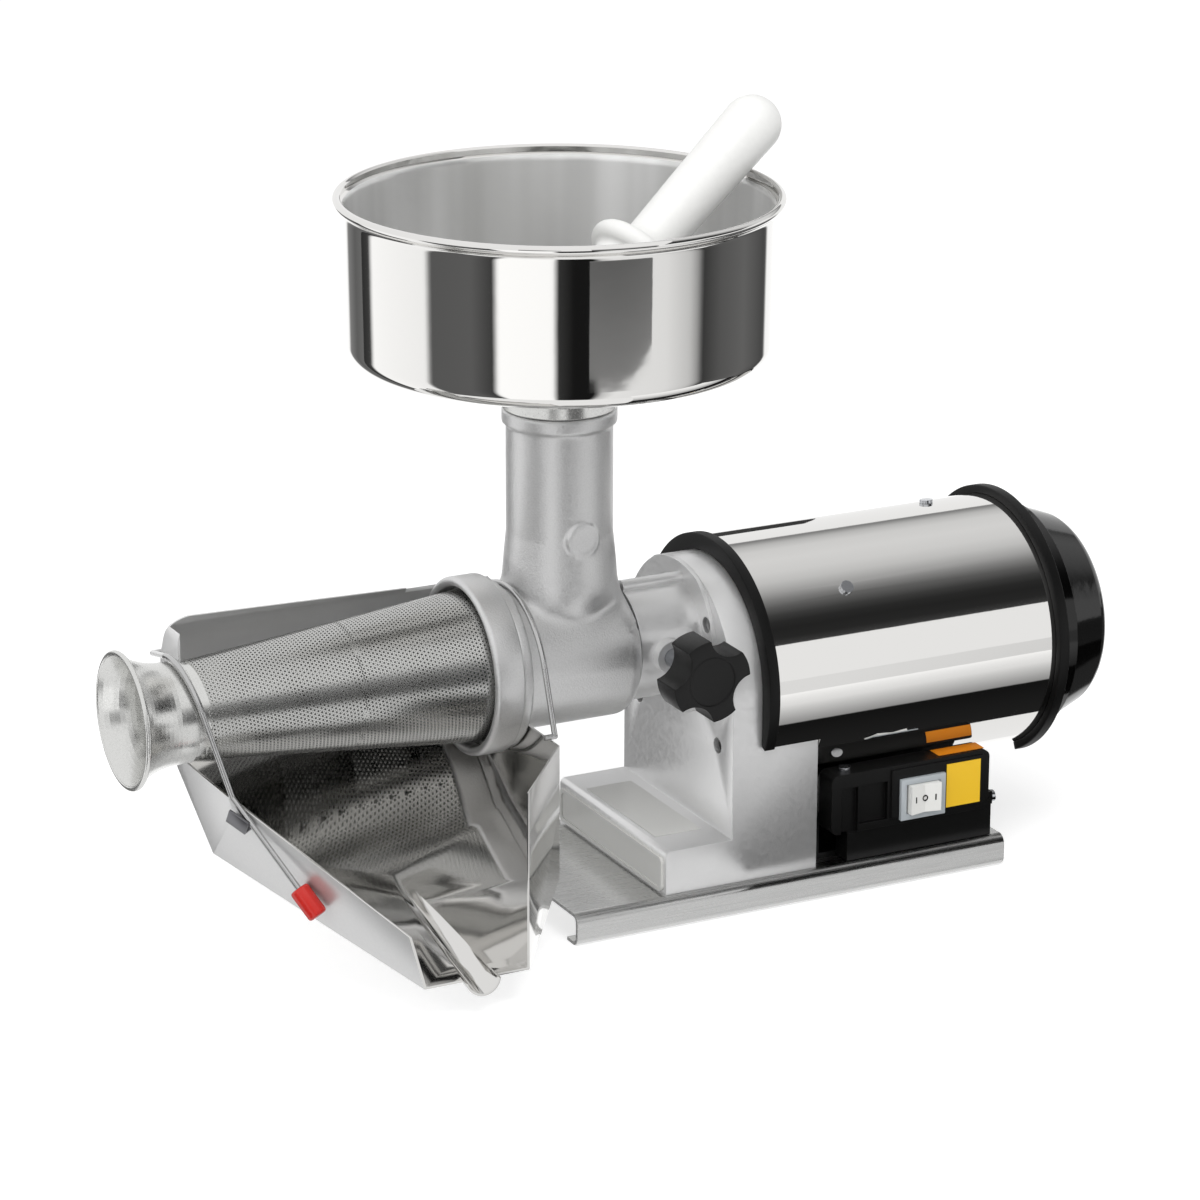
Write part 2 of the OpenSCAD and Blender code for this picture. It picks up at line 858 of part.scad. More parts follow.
module lay_shaft() {
    color(steel) along_x(gear_room_front - lay_seat_d + part_gap, lay_y, lay_z)
        cylinder(r = lay_shaft_r, h = upright_rear - gear_room_front + 2 * (lay_seat_d - part_gap));
}

module lay_gear() {
    color(brass) gear_x(gear_1_x, lay_y, lay_z, gear_1_teeth, module_1, gear_w_1, lay_shaft_r,
                        gear_1_turn);
}

module lay_pinion() {
    color(steel) gear_x(gear_2_x, lay_y, lay_z, pinion_2_teeth, module_2, gear_w_2, lay_shaft_r,
                        pinion_2_turn);
}

module motor_pinion() {
    color(steel) gear_x(gear_1_x, 0, motor_z, pinion_1_teeth, module_1, gear_w_1, pinion_bore_r,
                        pinion_1_turn);
}

pinion_bore_r = pitch_r_1a - tooth_root_share * module_1 - pinion_wall;

module motor_shaft() {
    neck_end = bell_front + bearing_seat - part_gap;
    shaft_end = fan_cover_rear - fan_cover_wall - shaft_rear_gap;
    color(steel) {
        on_motor_axis(motor_shaft_front)
            cylinder(r = pinion_bore_r, h = gear_1_x + gear_w_1 + cut - motor_shaft_front);
        on_motor_axis(gear_1_x + gear_w_1 + part_gap)
            cylinder(r = motor_shaft_r - cut, h = shaft_end - gear_1_x - gear_w_1);
        on_motor_axis(neck_end) cylinder(r = motor_shaft_r, h = frame_rear + rear_bell_t - neck_end);
    }
}

module motor_front_bell() {
    color(cast) difference() {
        union() {
            on_motor_axis(bell_front) cylinder(r = upright_r - part_gap, h = motor_plate_t);
            on_motor_axis(frame_front) cylinder(r = motor_r - frame_wall - fit_gap, h = bearing_seat);
        }
        on_motor_axis(bell_front - cut)
            cylinder(r = motor_shaft_r + part_gap, h = motor_plate_t + bearing_seat + 2 * cut);
        on_motor_axis(bell_front + bearing_seat) cylinder(r = bearing_r, h = motor_plate_t + cut);
        on_screw_axis(bell_front - cut) cylinder(r = output_rear_r + bush_wall, h = rear_seat_d + cut);
        along_x(bell_front - cut, lay_y, lay_z)
            cylinder(r = lay_shaft_r + run_gap, h = lay_seat_d + cut);
        motor_screw_places() along_x(bell_front - cut, 0, 0)
            cylinder(r = motor_screw_r, h = motor_plate_t / 2 + cut);
    }
}

module motor_frame() {
    color(cast) difference() {
        union() {
            on_motor_axis(frame_front) cylinder(r = motor_r, h = motor_len);
            for (s = cover_screws_at) cover_screw_place(s, motor_r - cut)
                cylinder(r = post_r, h = cover_inner_r - motor_r + cut - fit_gap);
        }
        on_motor_axis(frame_front - cut) cylinder(r = motor_r - frame_wall, h = motor_len + 2 * cut);
        for (s = cover_screws_at) cover_screw_place(s, motor_r - frame_wall - cut)
            cylinder(r = cover_screw_r, h = cover_r - motor_r + frame_wall + cut);
    }
}

// Local Z points straight out of the cover at this screw, from the radius given
module cover_screw_place(place, radius) {
    translate([place[0], radius * cos(place[1]), motor_z + radius * sin(place[1])])
        rotate([place[1] - 90, 0, 0]) children();
}

module motor_rear_bell() {
    color(cast) difference() {
        union() {
            on_motor_axis(frame_rear) cylinder(r = rear_bell_r, h = rear_bell_t);
            on_motor_axis(frame_rear - bearing_seat)
                cylinder(r = motor_r - frame_wall - fit_gap, h = bearing_seat);
        }
        on_motor_axis(frame_rear - bearing_seat - cut)
            cylinder(r = motor_shaft_r + part_gap, h = 3 * rear_bell_t);
        on_motor_axis(frame_rear - bearing_seat - cut)
            cylinder(r = bearing_r, h = bearing_w - bearing_seat + cut);
    }
}

module motor_bearings() {
    color(steel) {
        ring_x(bell_front + bearing_seat, motor_z, bearing_r, motor_shaft_r + run_gap,
               bearing_w - bearing_seat);
        ring_x(frame_rear - bearing_seat, motor_z, bearing_r, motor_shaft_r + run_gap,
               bearing_w - bearing_seat);
    }
}

module stator() {
    color([0.35, 0.36, 0.38]) ring_x(frame_front + stack_inset, motor_z, motor_r - frame_wall,
                                     rotor_r + air_gap,
                                     motor_len - 2 * stack_inset);
}

module windings() {
    ring_mid = (motor_r - frame_wall + rotor_r) / 2;
    color([0.72, 0.42, 0.2]) for (x = [frame_front + stack_inset - winding_len,
                                       frame_rear - stack_inset])
        ring_x(x, motor_z, ring_mid + winding_r, ring_mid - winding_r, winding_len);
}

module rotor() {
    color([0.5, 0.5, 0.52]) ring_x(frame_front + stack_inset, motor_z, rotor_r, motor_shaft_r,
                                   motor_len - 2 * stack_inset);
}

module cooling_fan() {
    color(black) on_motor_axis(fan_front) difference() {
        union() {
            cylinder(r = fan_hub_r, h = fan_disc_t + fan_blade_w + part_gap);
            cylinder(r = fan_r, h = fan_disc_t);
            for (i = [0:fan_blades - 1]) rotate([0, 0, i * 360 / fan_blades])
                translate([0, -fan_blade_t / 2, 0])
                    cube([fan_r, fan_blade_t, fan_disc_t + fan_blade_w]);
        }
        translate([0, 0, -cut]) cylinder(r = motor_shaft_r - cut,
                                         h = fan_disc_t + fan_blade_w + 2 * cut);
    }
}

module fan_cover() {
    inner_end = fan_cover_rear - fan_cover_wall;
    outside = concat([[rear_trim_back, fan_base_r], [fan_step_x, fan_step_r],
                      [fan_step_x, fan_step_r - fan_step_t]],
                     [for (p = arc(fan_cover_rear - fan_round_r, fan_end_r - fan_round_r, fan_round_r,
                                   fan_round_from, 0, 9)) p]);
    color(black) difference() {
        turned_x(motor_z, concat([[fan_skirt_front, 0], [fan_skirt_front, fan_skirt_r],
                                  [rear_trim_back, fan_skirt_r]],
                                 outside, [[fan_cover_rear, 0]]));
        turned_x(motor_z, [[fan_skirt_front - cut, 0], [fan_skirt_front - cut, rear_bell_r + fit_gap],
                           [fan_step_x - fan_cover_wall, rear_bell_r + fit_gap],
                           [fan_cover_rear - fan_round_r, fan_end_r - 2 * fan_cover_wall],
                           [inner_end, fan_end_r - fan_round_r], [inner_end, 0]]);
        on_motor_axis(inner_end - cut) for (i = [0:vent_count - 1])
            rotate([0, 0, (i + 0.5) * 360 / vent_count])
            translate([vent_in_r, -vent_w / 2, 0])
                cube([vent_out_r - vent_in_r, vent_w, fan_cover_wall + 2 * cut]);
    }
}

// The stretch of a ring that lies below the motor axis and is left out
module below_cover(x, length, half_angle, radius) {
    along_x(x, 0, motor_z) linear_extrude(length)
        polygon([[0, 0], [radius * cos(half_angle), -radius * sin(half_angle)],
                 [2 * radius * cos(half_angle), 0],
                 [radius * cos(half_angle), radius * sin(half_angle)]]);
}

module motor_cover() {
    reach = 2 * cover_r;
    color(steel) difference() {
        ring_x(cover_front, motor_z, cover_r, cover_inner_r, cover_rear - cover_front);
        below_cover(cover_front - cut, cover_rear - cover_front + 2 * cut, gap_angle, reach);
        below_cover(cover_front - cut, upright_rear + part_gap - cover_front + cut, 90 - notch_angle,
                    reach);
        for (s = cover_screws_at) cover_screw_place(s, cover_inner_r - cut)
            cylinder(r = cover_screw_r + part_gap, h = cover_sheet + 2 * cut);
    }
}

module front_edge_trim() {
    reach = 2 * cover_r;
    color(black) difference() {
        ring_x(trim_front, motor_z, cover_r + trim_out, upright_r + part_gap, trim_rear - trim_front);
        ring_x(cover_front, motor_z, cover_r, cover_inner_r, trim_rear - cover_front + cut);
        block([trim_front - cut, -upright_r - part_gap, 0],
              [trim_rear + cut, upright_r + part_gap, motor_z]);
        below_cover(trim_front - cut, trim_rear - trim_front + 2 * cut, 90 - notch_angle, reach);
    }
}

module rear_edge_trim() {
    reach = 2 * cover_r;
    color(black) difference() {
        ring_x(rear_trim_front, motor_z, rear_trim_r, rear_trim_in, rear_trim_back - rear_trim_front);
        ring_x(rear_trim_front - cut, motor_z, cover_r, cover_inner_r,
               cover_rear - rear_trim_front + cut);
        below_cover(rear_trim_front - cut, rear_trim_back - rear_trim_front + 2 * cut, gap_angle,
                    reach);
    }
}

module cover_screws() {
    color(steel) for (s = cover_screws_at) {
        cover_screw_place(s, cover_r - cover_screw_len)
            cylinder(r = cover_screw_r, h = cover_screw_len);
        cover_screw_place(s, cover_r + run_gap)
            cylinder(r = cover_screw_head_r, h = cover_screw_head_h);
    }
}

module switch_box() {
    color(black) difference() {
        block([box_front, -box_near, base_top], [box_rear, box_far, box_low_top]);
        block([box_front + box_wall, -box_near - cut, base_top + box_wall],
              [box_rear - box_wall, box_far - box_wall, box_low_top - box_wall]);
        along_x(box_rear - box_wall - cut, gland_y, gland_z)
            cylinder(r = gland_r, h = box_wall + 2 * cut);
    }
}

module switch_box_lid() {
    face_y = -lid_near;
    step_z = lid_skirt_top + lid_corner_r;
    color(black) difference() {
        union() {
            translate([(lid_from + lid_to) / 2, -box_near, lid_skirt_top]) rotate([90, 0, 0])
                linear_extrude(box_lid_d) rounded_rect(lid_to - lid_from, lid_top - lid_skirt_top,
                                                       lid_corner_r);
            block([skirt_from, face_y + skirt_step, lid_bottom], [skirt_to, -box_near, step_z]);
            block([lid_to - skirt_step, face_y + 2 * skirt_step, lid_skirt_top],
                  [skirt_to + skirt_step, -box_near, step_z + recess_d]);
            block([panel_from, face_y - panel_out, step_z],
                  [panel_to, -box_near, lid_top - lid_corner_r / 2]);
        }
        block([skirt_from + box_wall, face_y + skirt_step + box_wall, lid_bottom + box_wall],
              [lid_to - box_wall, -box_near + cut, lid_top - box_wall]);
        block([recess_from, face_y - cut, step_z],
              [recess_to, face_y + recess_d, lid_top - 2 * lid_corner_r]);
        block([lid_lug_x - lid_lug_r, face_y - cut, lid_skirt_top - cut],
              [lid_lug_x + lid_lug_r, face_y + lid_lug_cut, lid_top - 2 * lid_corner_r]);
        block([rocker_x - rocker_l / 2 - fit_gap, face_y - panel_out - cut,
               rocker_z - rocker_h / 2 - fit_gap],
              [rocker_x + rocker_l / 2 + fit_gap, -box_near, rocker_z + rocker_h / 2 + fit_gap]);
        lid_screw_places() translate([0, 0, -lid_screw_len])
            cylinder(r = lid_screw_r, h = lid_screw_len + cut);
    }
}

// One screw goes down through the lid's top, one in through its rear end
module lid_screw_places() {
    translate([lid_lug_x, -box_near - box_lid_d / 2, lid_top]) children();
    translate([skirt_to + skirt_step, -box_near - box_lid_d / 2, lid_skirt_top + lid_screw_head_r])
        rotate([0, 90, 0]) children();
}

module lid_screws() {
    color(steel) lid_screw_places() {
        translate([0, 0, run_gap]) cylinder(r = lid_screw_head_r, h = lid_screw_head_h);
        translate([0, 0, part_gap - lid_screw_len])
            cylinder(r = lid_screw_r - run_gap, h = lid_screw_len);
    }
}

module start_capacitor() {
    color(white) along_x(capacitor_x, capacitor_y, base_top + box_wall + capacitor_r)
        cylinder(r = capacitor_r, h = capacitor_len);
}

module cable_gland() {
    color(black) along_x(box_rear, gland_y, gland_z) difference() {
        union() {
            translate([0, 0, -box_wall]) cylinder(r = gland_r - run_gap, h = box_wall);
            cylinder(r = gland_nut_r, h = gland_nut_t, $fn = 6);
            translate([0, 0, gland_nut_t]) cylinder(r1 = gland_r, r2 = gland_tip_r,
                                                    h = gland_len - gland_nut_t);
        }
        translate([0, 0, -box_wall - cut])
            cylinder(r = gland_bore_r, h = gland_len + box_wall + 2 * cut);
    }
}

module rocker_bezel() {
    face_y = -lid_near - panel_out;
    color([0.75, 0.77, 0.78]) difference() {
        union() {
            block([rocker_x - bezel_l / 2, face_y - bezel_t, rocker_z - bezel_h / 2],
                  [rocker_x + bezel_l / 2, face_y, rocker_z + bezel_h / 2]);
            block([rocker_x - rocker_l / 2, face_y, rocker_z - rocker_h / 2],
                  [rocker_x + rocker_l / 2, face_y + switch_body_d + bezel_t, rocker_z + rocker_h / 2]);
        }
        block([rocker_x - rocker_l / 2 + rocker_side, face_y - bezel_t - cut,
               rocker_z - rocker_h / 2 + rocker_side],
              [rocker_x + rocker_l / 2 - rocker_side, face_y + switch_body_d,
               rocker_z + rocker_h / 2 - rocker_side]);
        translate([rocker_x, pivot_y, rocker_z - bezel_h / 2 + cut])
            cylinder(r = rocker_pin_r + run_gap, h = bezel_h - 2 * cut);
    }
}

// The rocker's outline from above: two faces that meet in a shallow valley
module rocker() {
    half = rocker_l / 2 - rocker_side - 0.9 * rocker_out * rocker_tilt_share;
    face_y = -lid_near - panel_out - bezel_t;
    tall = rocker_h - 2 * rocker_side - 2 * part_gap;
    outline = [[-half, face_y - rocker_out], [0, face_y - rocker_out * rocker_tilt_share],
               [half, face_y - rocker_out],
               [half, face_y + bezel_t / 2], [rocker_depth, pivot_y + rocker_depth / 3],
                   [-rocker_depth, pivot_y + rocker_depth / 3],
               [-half, face_y + bezel_t / 2]];
    color(white) translate([rocker_x, 0, rocker_z - tall / 2]) {
        linear_extrude(tall) polygon(outline);
        translate([0, pivot_y, -rocker_side / 2]) cylinder(r = rocker_pin_r, h = tall + rocker_side);
    }
}

module yellow_label() {
    color("gold") block([yellow_x, -lid_near - panel_out - label_t, yellow_z],
                        [yellow_x + yellow_l, -lid_near - panel_out, yellow_z + yellow_h]);
}

module amber_label() {
    color("orange") block([amber_x, -lid_near + 1.5 * skirt_step, lid_top],
                          [amber_x + amber_l, -lid_near + 1.5 * skirt_step + amber_w,
                           lid_top + label_t]);
}

module strainer_body() {
    flange_back = flange_t - barrel_front;
    shell = concat([[-barrel_front - nose_len, 0], [-barrel_front - nose_len, nose_r],
                    [-barrel_front, nose_r],
                    [-barrel_front, barrel_flange_r], [flange_back, barrel_flange_r],
                        [flange_back, barrel_r]],
                   arc(barrel_rear - barrel_round, barrel_r - barrel_round, barrel_round, 90, 20, 8),
                   [[barrel_rear, spigot_r], [spigot_end, spigot_r], [spigot_end, 0]]);
    color(cast) difference() {
        union() {
            turned_x(screw_z, shell);
            translate([0, 0, screw_z]) cylinder(r = neck_r, h = neck_top - screw_z);
            translate([0, 0, neck_top - neck_lip_h]) cylinder(r = neck_lip_r, h = neck_lip_h);
            translate([0, 0, flare_low]) cylinder(r1 = flare_r, r2 = neck_r,
                                                  h = flare_high - flare_low);
            towards_viewer(0, 0, disc_z) cylinder(r = disc_r, h = neck_r + disc_out);
        }
        on_screw_axis(-barrel_front - nose_len - cut)
            cylinder(r = barrel_bore_r, h = barrel_front + nose_len + barrel_rear - rear_plug_t + cut);
        on_screw_axis(0) cylinder(r = journal_r + run_gap, h = spigot_end + cut);
        translate([0, 0, screw_z]) cylinder(r = neck_bore_r, h = neck_top - screw_z + cut);
        translate([0, 0, neck_top - neck_lip_h - neck_groove]) difference() {
            cylinder(r = neck_lip_r, h = neck_groove);
            cylinder(r = neck_r - neck_groove, h = neck_groove);
        }
        towards_viewer(0, -neck_r - disc_out + disc_sink, disc_z)
            cylinder(r = disc_r - disc_rim, h = disc_out);
    }
}

module collar() {
    lip_x = cone_start + cone_flange_t + fit_gap;
    outline = [[-collar_front + collar_edge, collar_r], [-barrel_front - part_gap / 2, collar_r],
               [-barrel_front - part_gap / 2, collar_recess_r], [-lip_x, collar_recess_r],
                   [-lip_x, collar_bore_r], [-collar_front + collar_edge, collar_bore_r],
               [-collar_front, collar_bore_r + collar_edge], [-collar_front, collar_r - collar_edge]];
    color(cast) turned_x(screw_z, outline);
}

module strainer_cone() {
    outline = [[-cone_start, cone_flange_r], [-cone_start - cone_flange_t, cone_flange_r],
               [-cone_start - cone_flange_t, cone_big_r],
               [-cone_end, cone_small_r], [-cone_end, cone_small_r - cone_sheet],
                   [-cone_start, cone_big_r - cone_sheet]];
    color(steel) turned_x(screw_z, outline);
}

module pulp_nozzle() {
    flare_len = nozzle_end - rim_bead_r - nozzle_flare_from;
    flare_rise = nozzle_rim_r - rim_bead_r - nozzle_neck_r;
    bend_r = (flare_len * flare_len + flare_rise * flare_rise) / (2 * flare_rise);
    sweep = asin(flare_len / bend_r);
    outside = arc(-nozzle_flare_from, nozzle_neck_r + bend_r, bend_r, -90, -90 - sweep, 10);
    inside = arc(-nozzle_flare_from, nozzle_neck_r + bend_r, bend_r + nozzle_wall, -90 - sweep, -90,
                 10);
    color(steel) {
        turned_x(screw_z, concat([[-nozzle_spigot_from, nozzle_spigot_r],
                                  [-cone_end - part_gap, nozzle_spigot_r],
                                  [-cone_end - part_gap, nozzle_neck_r]],
                                 outside, inside, [[-cone_end - cut,
                                                    nozzle_spigot_r - nozzle_spigot_wall],
                                                   [-nozzle_spigot_from,
                                                    nozzle_spigot_r - nozzle_spigot_wall]]));
        translate([rim_bead_r - nozzle_end, 0, screw_z]) rotate([0, 90, 0]) rotate_extrude()
            translate([nozzle_rim_r - rim_bead_r, 0]) circle(r = rim_bead_r, $fn = 24);
    }
}

// The wall's inner radius round the auger: straight in the barrel, then narrowing in the cone
function wall_radius(x) =
    x > -cone_start ? barrel_bore_r
    : min(barrel_bore_r + rear_plug_t,
          cone_big_r - cone_sheet
          + (cone_small_r - cone_big_r) * (-cone_start - x) / (cone_end - cone_start));

// One flight of the auger: a flat ribbon wound about the core, made of four corner lines
module auger_flight(x_from, x_to, gap) {
    turns = (x_to - x_from) / auger_pitch;
    steps = ceil(turns * auger_steps);
    ring = [for (i = [0:steps]) let (x = x_from + (x_to - x_from) * i / steps,
                                     a = 360 * turns * i / steps)
            for (edge = min(wall_radius(x), wall_radius(x + auger_flight_t + auger_pitch / auger_steps))
                        - gap)
            for (q = [[auger_core_r - cut, 0], [edge, 0], [edge, auger_flight_t],
                      [auger_core_r - cut, auger_flight_t]])
            [x + q[1], q[0] * cos(a), q[0] * sin(a)]];
    sides = [for (i = [0:steps - 1], k = [0:3]) let (a = 4 * i + k, b = 4 * i + (k + 1) % 4)
             each [[a, b + 4, a + 4], [a, b, b + 4]]];
    last = 4 * steps;
    ends = [[2, 1, 0], [3, 2, 0], [last, last + 1, last + 2], [last, last + 2, last + 3]];
    translate([0, 0, screw_z]) polyhedron(points = ring, faces = concat(sides, ends));
}

module auger() {
    tang_x = out_front + drive_socket_d / 2 - drive_tang / 2;
    color(white) {
        on_screw_axis(-auger_tip) cylinder(r = auger_core_r, h = auger_tip + auger_rear);
        on_screw_axis(auger_rear) cylinder(r = journal_r, h = out_front - fit_gap - auger_rear);
        auger_flight(auger_flight_t - auger_tip, auger_rear - 2 * auger_flight_t, auger_gap);
    }
    color(steel) along_x(out_front - fit_gap, 0, screw_z)
        translate([-drive_square / 2, -drive_square / 2, 0])
        cube([drive_square, drive_square, drive_socket_d / 2]);
}

module hopper() {
    top_in = hopper_wall_r - hopper_sheet;
    bead_z = hopper_top - hopper_bead_r;
    bead_x = hopper_rim_r - hopper_bead_r;
    corner_z = hopper_corner_z;
    low = hopper_wall_r - hopper_taper;
    slope = atan((corner_z - hopper_corner_r - hopper_spout_z) / (low - hopper_corner_r - hopper_spout_r));
    outer = concat([[hopper_spout_r, hopper_spout_end], [hopper_spout_r, hopper_spout_z - spout_bend],
                    [hopper_spout_r + spout_bend, hopper_spout_z]],
                   arc(low - hopper_corner_r, corner_z, hopper_corner_r, -90 + slope, 0, 8),
                   [[hopper_wall_r, bead_z - hopper_bead_r], [bead_x, bead_z]]);
    inner = concat([[bead_x, bead_z + hopper_sheet], [top_in, bead_z - hopper_bead_r]],
                   arc(low - hopper_corner_r, corner_z, hopper_corner_r - hopper_sheet, 0, -90 + slope,
                       8),
                   [[hopper_spout_r + spout_bend - hopper_sheet / 2, hopper_spout_z + hopper_sheet],
                    [hopper_spout_r - hopper_sheet, hopper_spout_z - spout_bend],
                    [hopper_spout_r - hopper_sheet, hopper_spout_end]]);
    color(steel) {
        rotate_extrude($fn = 144) polygon(concat(outer, inner));
        rotate_extrude($fn = 144) translate([bead_x, bead_z]) circle(r = hopper_bead_r, $fn = 24);
        translate([0, 0, neck_top + part_gap / 3]) difference() {
            cylinder(r = neck_lip_r, h = hopper_spout_z - spout_bend - neck_top);
            translate([0, 0, -cut]) cylinder(r = hopper_spout_r - hopper_sheet / 2, h = neck_top);
        }
    }
}

module pestle() {
    guard = pestle_guard_t / 2;
    end_z = pestle_handle_len - pestle_end_r;
    outline = concat([[0, -pestle_head_len], [pestle_head_r - head_round, -pestle_head_len]],
                     arc(pestle_head_r - head_round, head_round - pestle_head_len, head_round, -90, 0,
                         4),
                     [[pestle_head_r, -guard], [pestle_guard_r - guard_round, -guard]],
                     arc(pestle_guard_r - guard_round, 0, guard, -90, 90, 10),
                     [for (p = arc(pestle_neck_r + pestle_fillet, guard + pestle_fillet, pestle_fillet,
                                   270, 180, 6)) p],
                     arc(0, end_z, pestle_end_r, 0, 90, 10));
    color(white) translate([pestle_x, pestle_y, pestle_z]) rotate([0, 90 - pestle_lean, pestle_swing])
        rotate_extrude() polygon(outline);
}

// The tray's inside, seen along X: the rounded far wall, the slope and the floor.
// "grow" moves every wall outwards by one thickness.
module tray_section(grow) {
    r = tray_r + grow;
    slope_x = r * cos(arc_end_angle);
    slope_y = r * sin(arc_end_angle);
    out = grow / cos(floor_angle);
    polygon(concat([[-tray_reach - cut, screw_z + r],
                    [-tray_reach - cut, floor_z(-tray_reach - cut) - out], [bend_y, bend_z - out]],
                   [for (p = arc(0, screw_z, r, arc_end_angle, wall_top_angle, 24)) p],
                   [[0, screw_z + r]]));
}

function floor_z(y) = bend_z + (y - bend_y) * tan(floor_angle);

// Everything between the tray's front wall, leaning panel, back wall and near panel
module tray_plan(grow) {
    plan_h = 2 * screw_z;
    difference() {
        linear_extrude(plan_h) polygon([
            [-tray_front - grow, tray_r + cut + grow], [-tray_front - grow, -2 * tray_reach],
            [-lip_right + grow, -2 * tray_reach], [-lip_right + grow, -tray_reach],
            [-tray_back - tray_sheet + grow, -back_near],
                [-tray_back - tray_sheet + grow, tray_r + cut + grow]]);
        leaning_panel_side(grow);
    }
}

// The leaning panel's plane, given by its front fold, its front top corner and its end at the lip
panel_low = [-tray_front, front_fold_y, bend_z];
panel_top = [-tray_front, front_lean_y, tray_wall_z];
panel_lip = [-lip_left, -tray_reach, tray_lip_z];
panel_cross = cross(panel_lip - panel_low, panel_top - panel_low);
panel_n = panel_cross / norm(panel_cross);
panel_end = panel_lip + [0, 0, panel_end_h];
edge_run = panel_end - panel_top;
edge_u = edge_run / norm(edge_run);
up_u = cross(panel_n, edge_u);

// All that lies outside the leaning panel
module leaning_panel_side(grow) {
    size = 3 * tray_reach;
    translate(panel_low) rotate([0, acos(panel_n[2]), atan2(panel_n[1], panel_n[0])])
        translate([-size, -size, grow]) cube([2 * size, 2 * size, size]);
}

// All that lies above the tray's edges
module tray_above() {
    top = 3 * screw_z;
    panel_lip_z = tray_lip_z + panel_end_h;
    rotate([90, 0, 90]) translate([0, 0, -2 * tray_front])
        linear_extrude(2 * tray_front - (lip_left + lip_right) / 2)
        polygon([[0, tray_wall_z], [front_lean_y - tray_sheet, tray_wall_z],
                 [-tray_reach - cut, panel_lip_z],
                 [-2 * tray_reach, panel_lip_z], [-2 * tray_reach, top], [0, top]]);
    block([-2 * tray_front, -2 * tray_reach, tray_panel_z], [0, rear_cut_r / 2, top]);
    block([-tray_front - 2 * tray_sheet, -tray_reach, tray_wall_z], [-tray_front, tray_r / 2, top]);
    towards_viewer(0, 2 * tray_r, 0) linear_extrude(2 * tray_r) polygon([
        [-2 * tray_front, wall_front_z], [-tray_front, wall_front_z], [-tray_back, wall_rear_z],
            [0, wall_rear_z],
        [0, top], [-2 * tray_front, top]]);
    corner_x = -tray_front - tray_sheet + wall_corner_r;
    corner_z = wall_front_z - wall_corner_r;
    towards_viewer(0, 2 * tray_r, 0) difference() {
        translate([-2 * tray_front, corner_z, 0]) cube([2 * tray_front + corner_x, top, 2 * tray_r]);
        translate([corner_x, corner_z, -cut]) cylinder(r = wall_corner_r, h = 2 * tray_r + 2 * cut);
    }
}

module juice_tray() {
    far = 3 * tray_reach;
    color(steel) {
        difference() {
            intersection() {
                rotate([90, 0, 90]) translate([0, 0, -tray_front - far]) linear_extrude(2 * far)
                    tray_section(tray_sheet);
                tray_plan(tray_sheet);
            }
            intersection() {
                rotate([90, 0, 90]) translate([0, 0, -tray_front - far]) linear_extrude(2 * far)
                    tray_section(0);
                tray_plan(0);
            }
            block([-far, -2 * far, -cut], [far, -tray_reach, 2 * screw_z]);
            tray_above();
            block([-far, -far, screw_z + tray_r * sin(wall_top_angle)], [far, far, 3 * screw_z]);
            on_screw_axis(-2 * tray_back) cylinder(r = rear_cut_r, h = 2 * tray_back);
            block([-2 * tray_back, -rear_cut_r, screw_z], [0, rear_cut_r, 2 * screw_z]);
            spout_frame() cylinder(r = spout_r - tray_sheet / 2, h = spout_len + cut);
        }
        spout();
        bail_tab();
    }
}

spout_from = [-spout_start_x, spout_start_y, floor_z(spout_start_y) + spout_r];
spout_to = [-spout_x, -tray_reach - spout_past,
            floor_z(-tray_reach - spout_past) + spout_r - spout_drop];
spout_run = spout_to - spout_from;
spout_len = norm(spout_run);

// The channel's own frame: local Z runs down the channel from where it starts
module spout_frame() {
    translate(spout_from)
        rotate([0, atan2(norm([spout_run[0], spout_run[1]]), spout_run[2]),
                atan2(spout_run[1], spout_run[0])]) children();
}

// All that lies over the tray's sloping floor
module over_floor() {
    high = 2 * tray_r;
    rotate([90, 0, 90]) translate([0, 0, -tray_front]) linear_extrude(tray_front) polygon([
        [bend_y, bend_z], [-2 * tray_reach, floor_z(-2 * tray_reach)], [-2 * tray_reach, high],
            [bend_y, high]]);
}

module spout() {
    difference() {
        spout_frame() difference() {
            cylinder(r = spout_r, h = spout_len + spout_r);
            translate([0, 0, -cut]) cylinder(r = spout_r - tray_sheet,
                                             h = spout_len + spout_r + 2 * cut);
        }
        over_floor();
        block([-tray_front, -2 * tray_reach, 0], [0, -tray_reach - spout_past, screw_z]);
    }
}

// The little hook on the leaning panel that the front bail drops into
module bail_tab() {
    multmatrix([[edge_u[0], panel_n[0], up_u[0], panel_top[0]],
                [edge_u[1], panel_n[1], up_u[1], panel_top[1]],
                [edge_u[2], panel_n[2], up_u[2], panel_top[2]], [0, 0, 0, 1]]) {
        translate([tab_from, tray_sheet / 2, -tab_h]) cube([tab_w, tab_out - tray_sheet / 2, tab_t]);
        translate([tab_from, tab_out - tab_t, -tab_h]) cube([tab_w, tab_t, tab_h]);
    }
}

module bail_eyes() {
    color(steel) for (x = [front_eye_x, rear_eye_x]) along_x(x, eye_y, eye_z) difference() {
        cylinder(r = eye_r, h = eye_len);
        translate([0, 0, -cut]) cylinder(r = wire_r + run_gap, h = eye_len + 2 * cut);
    }
}

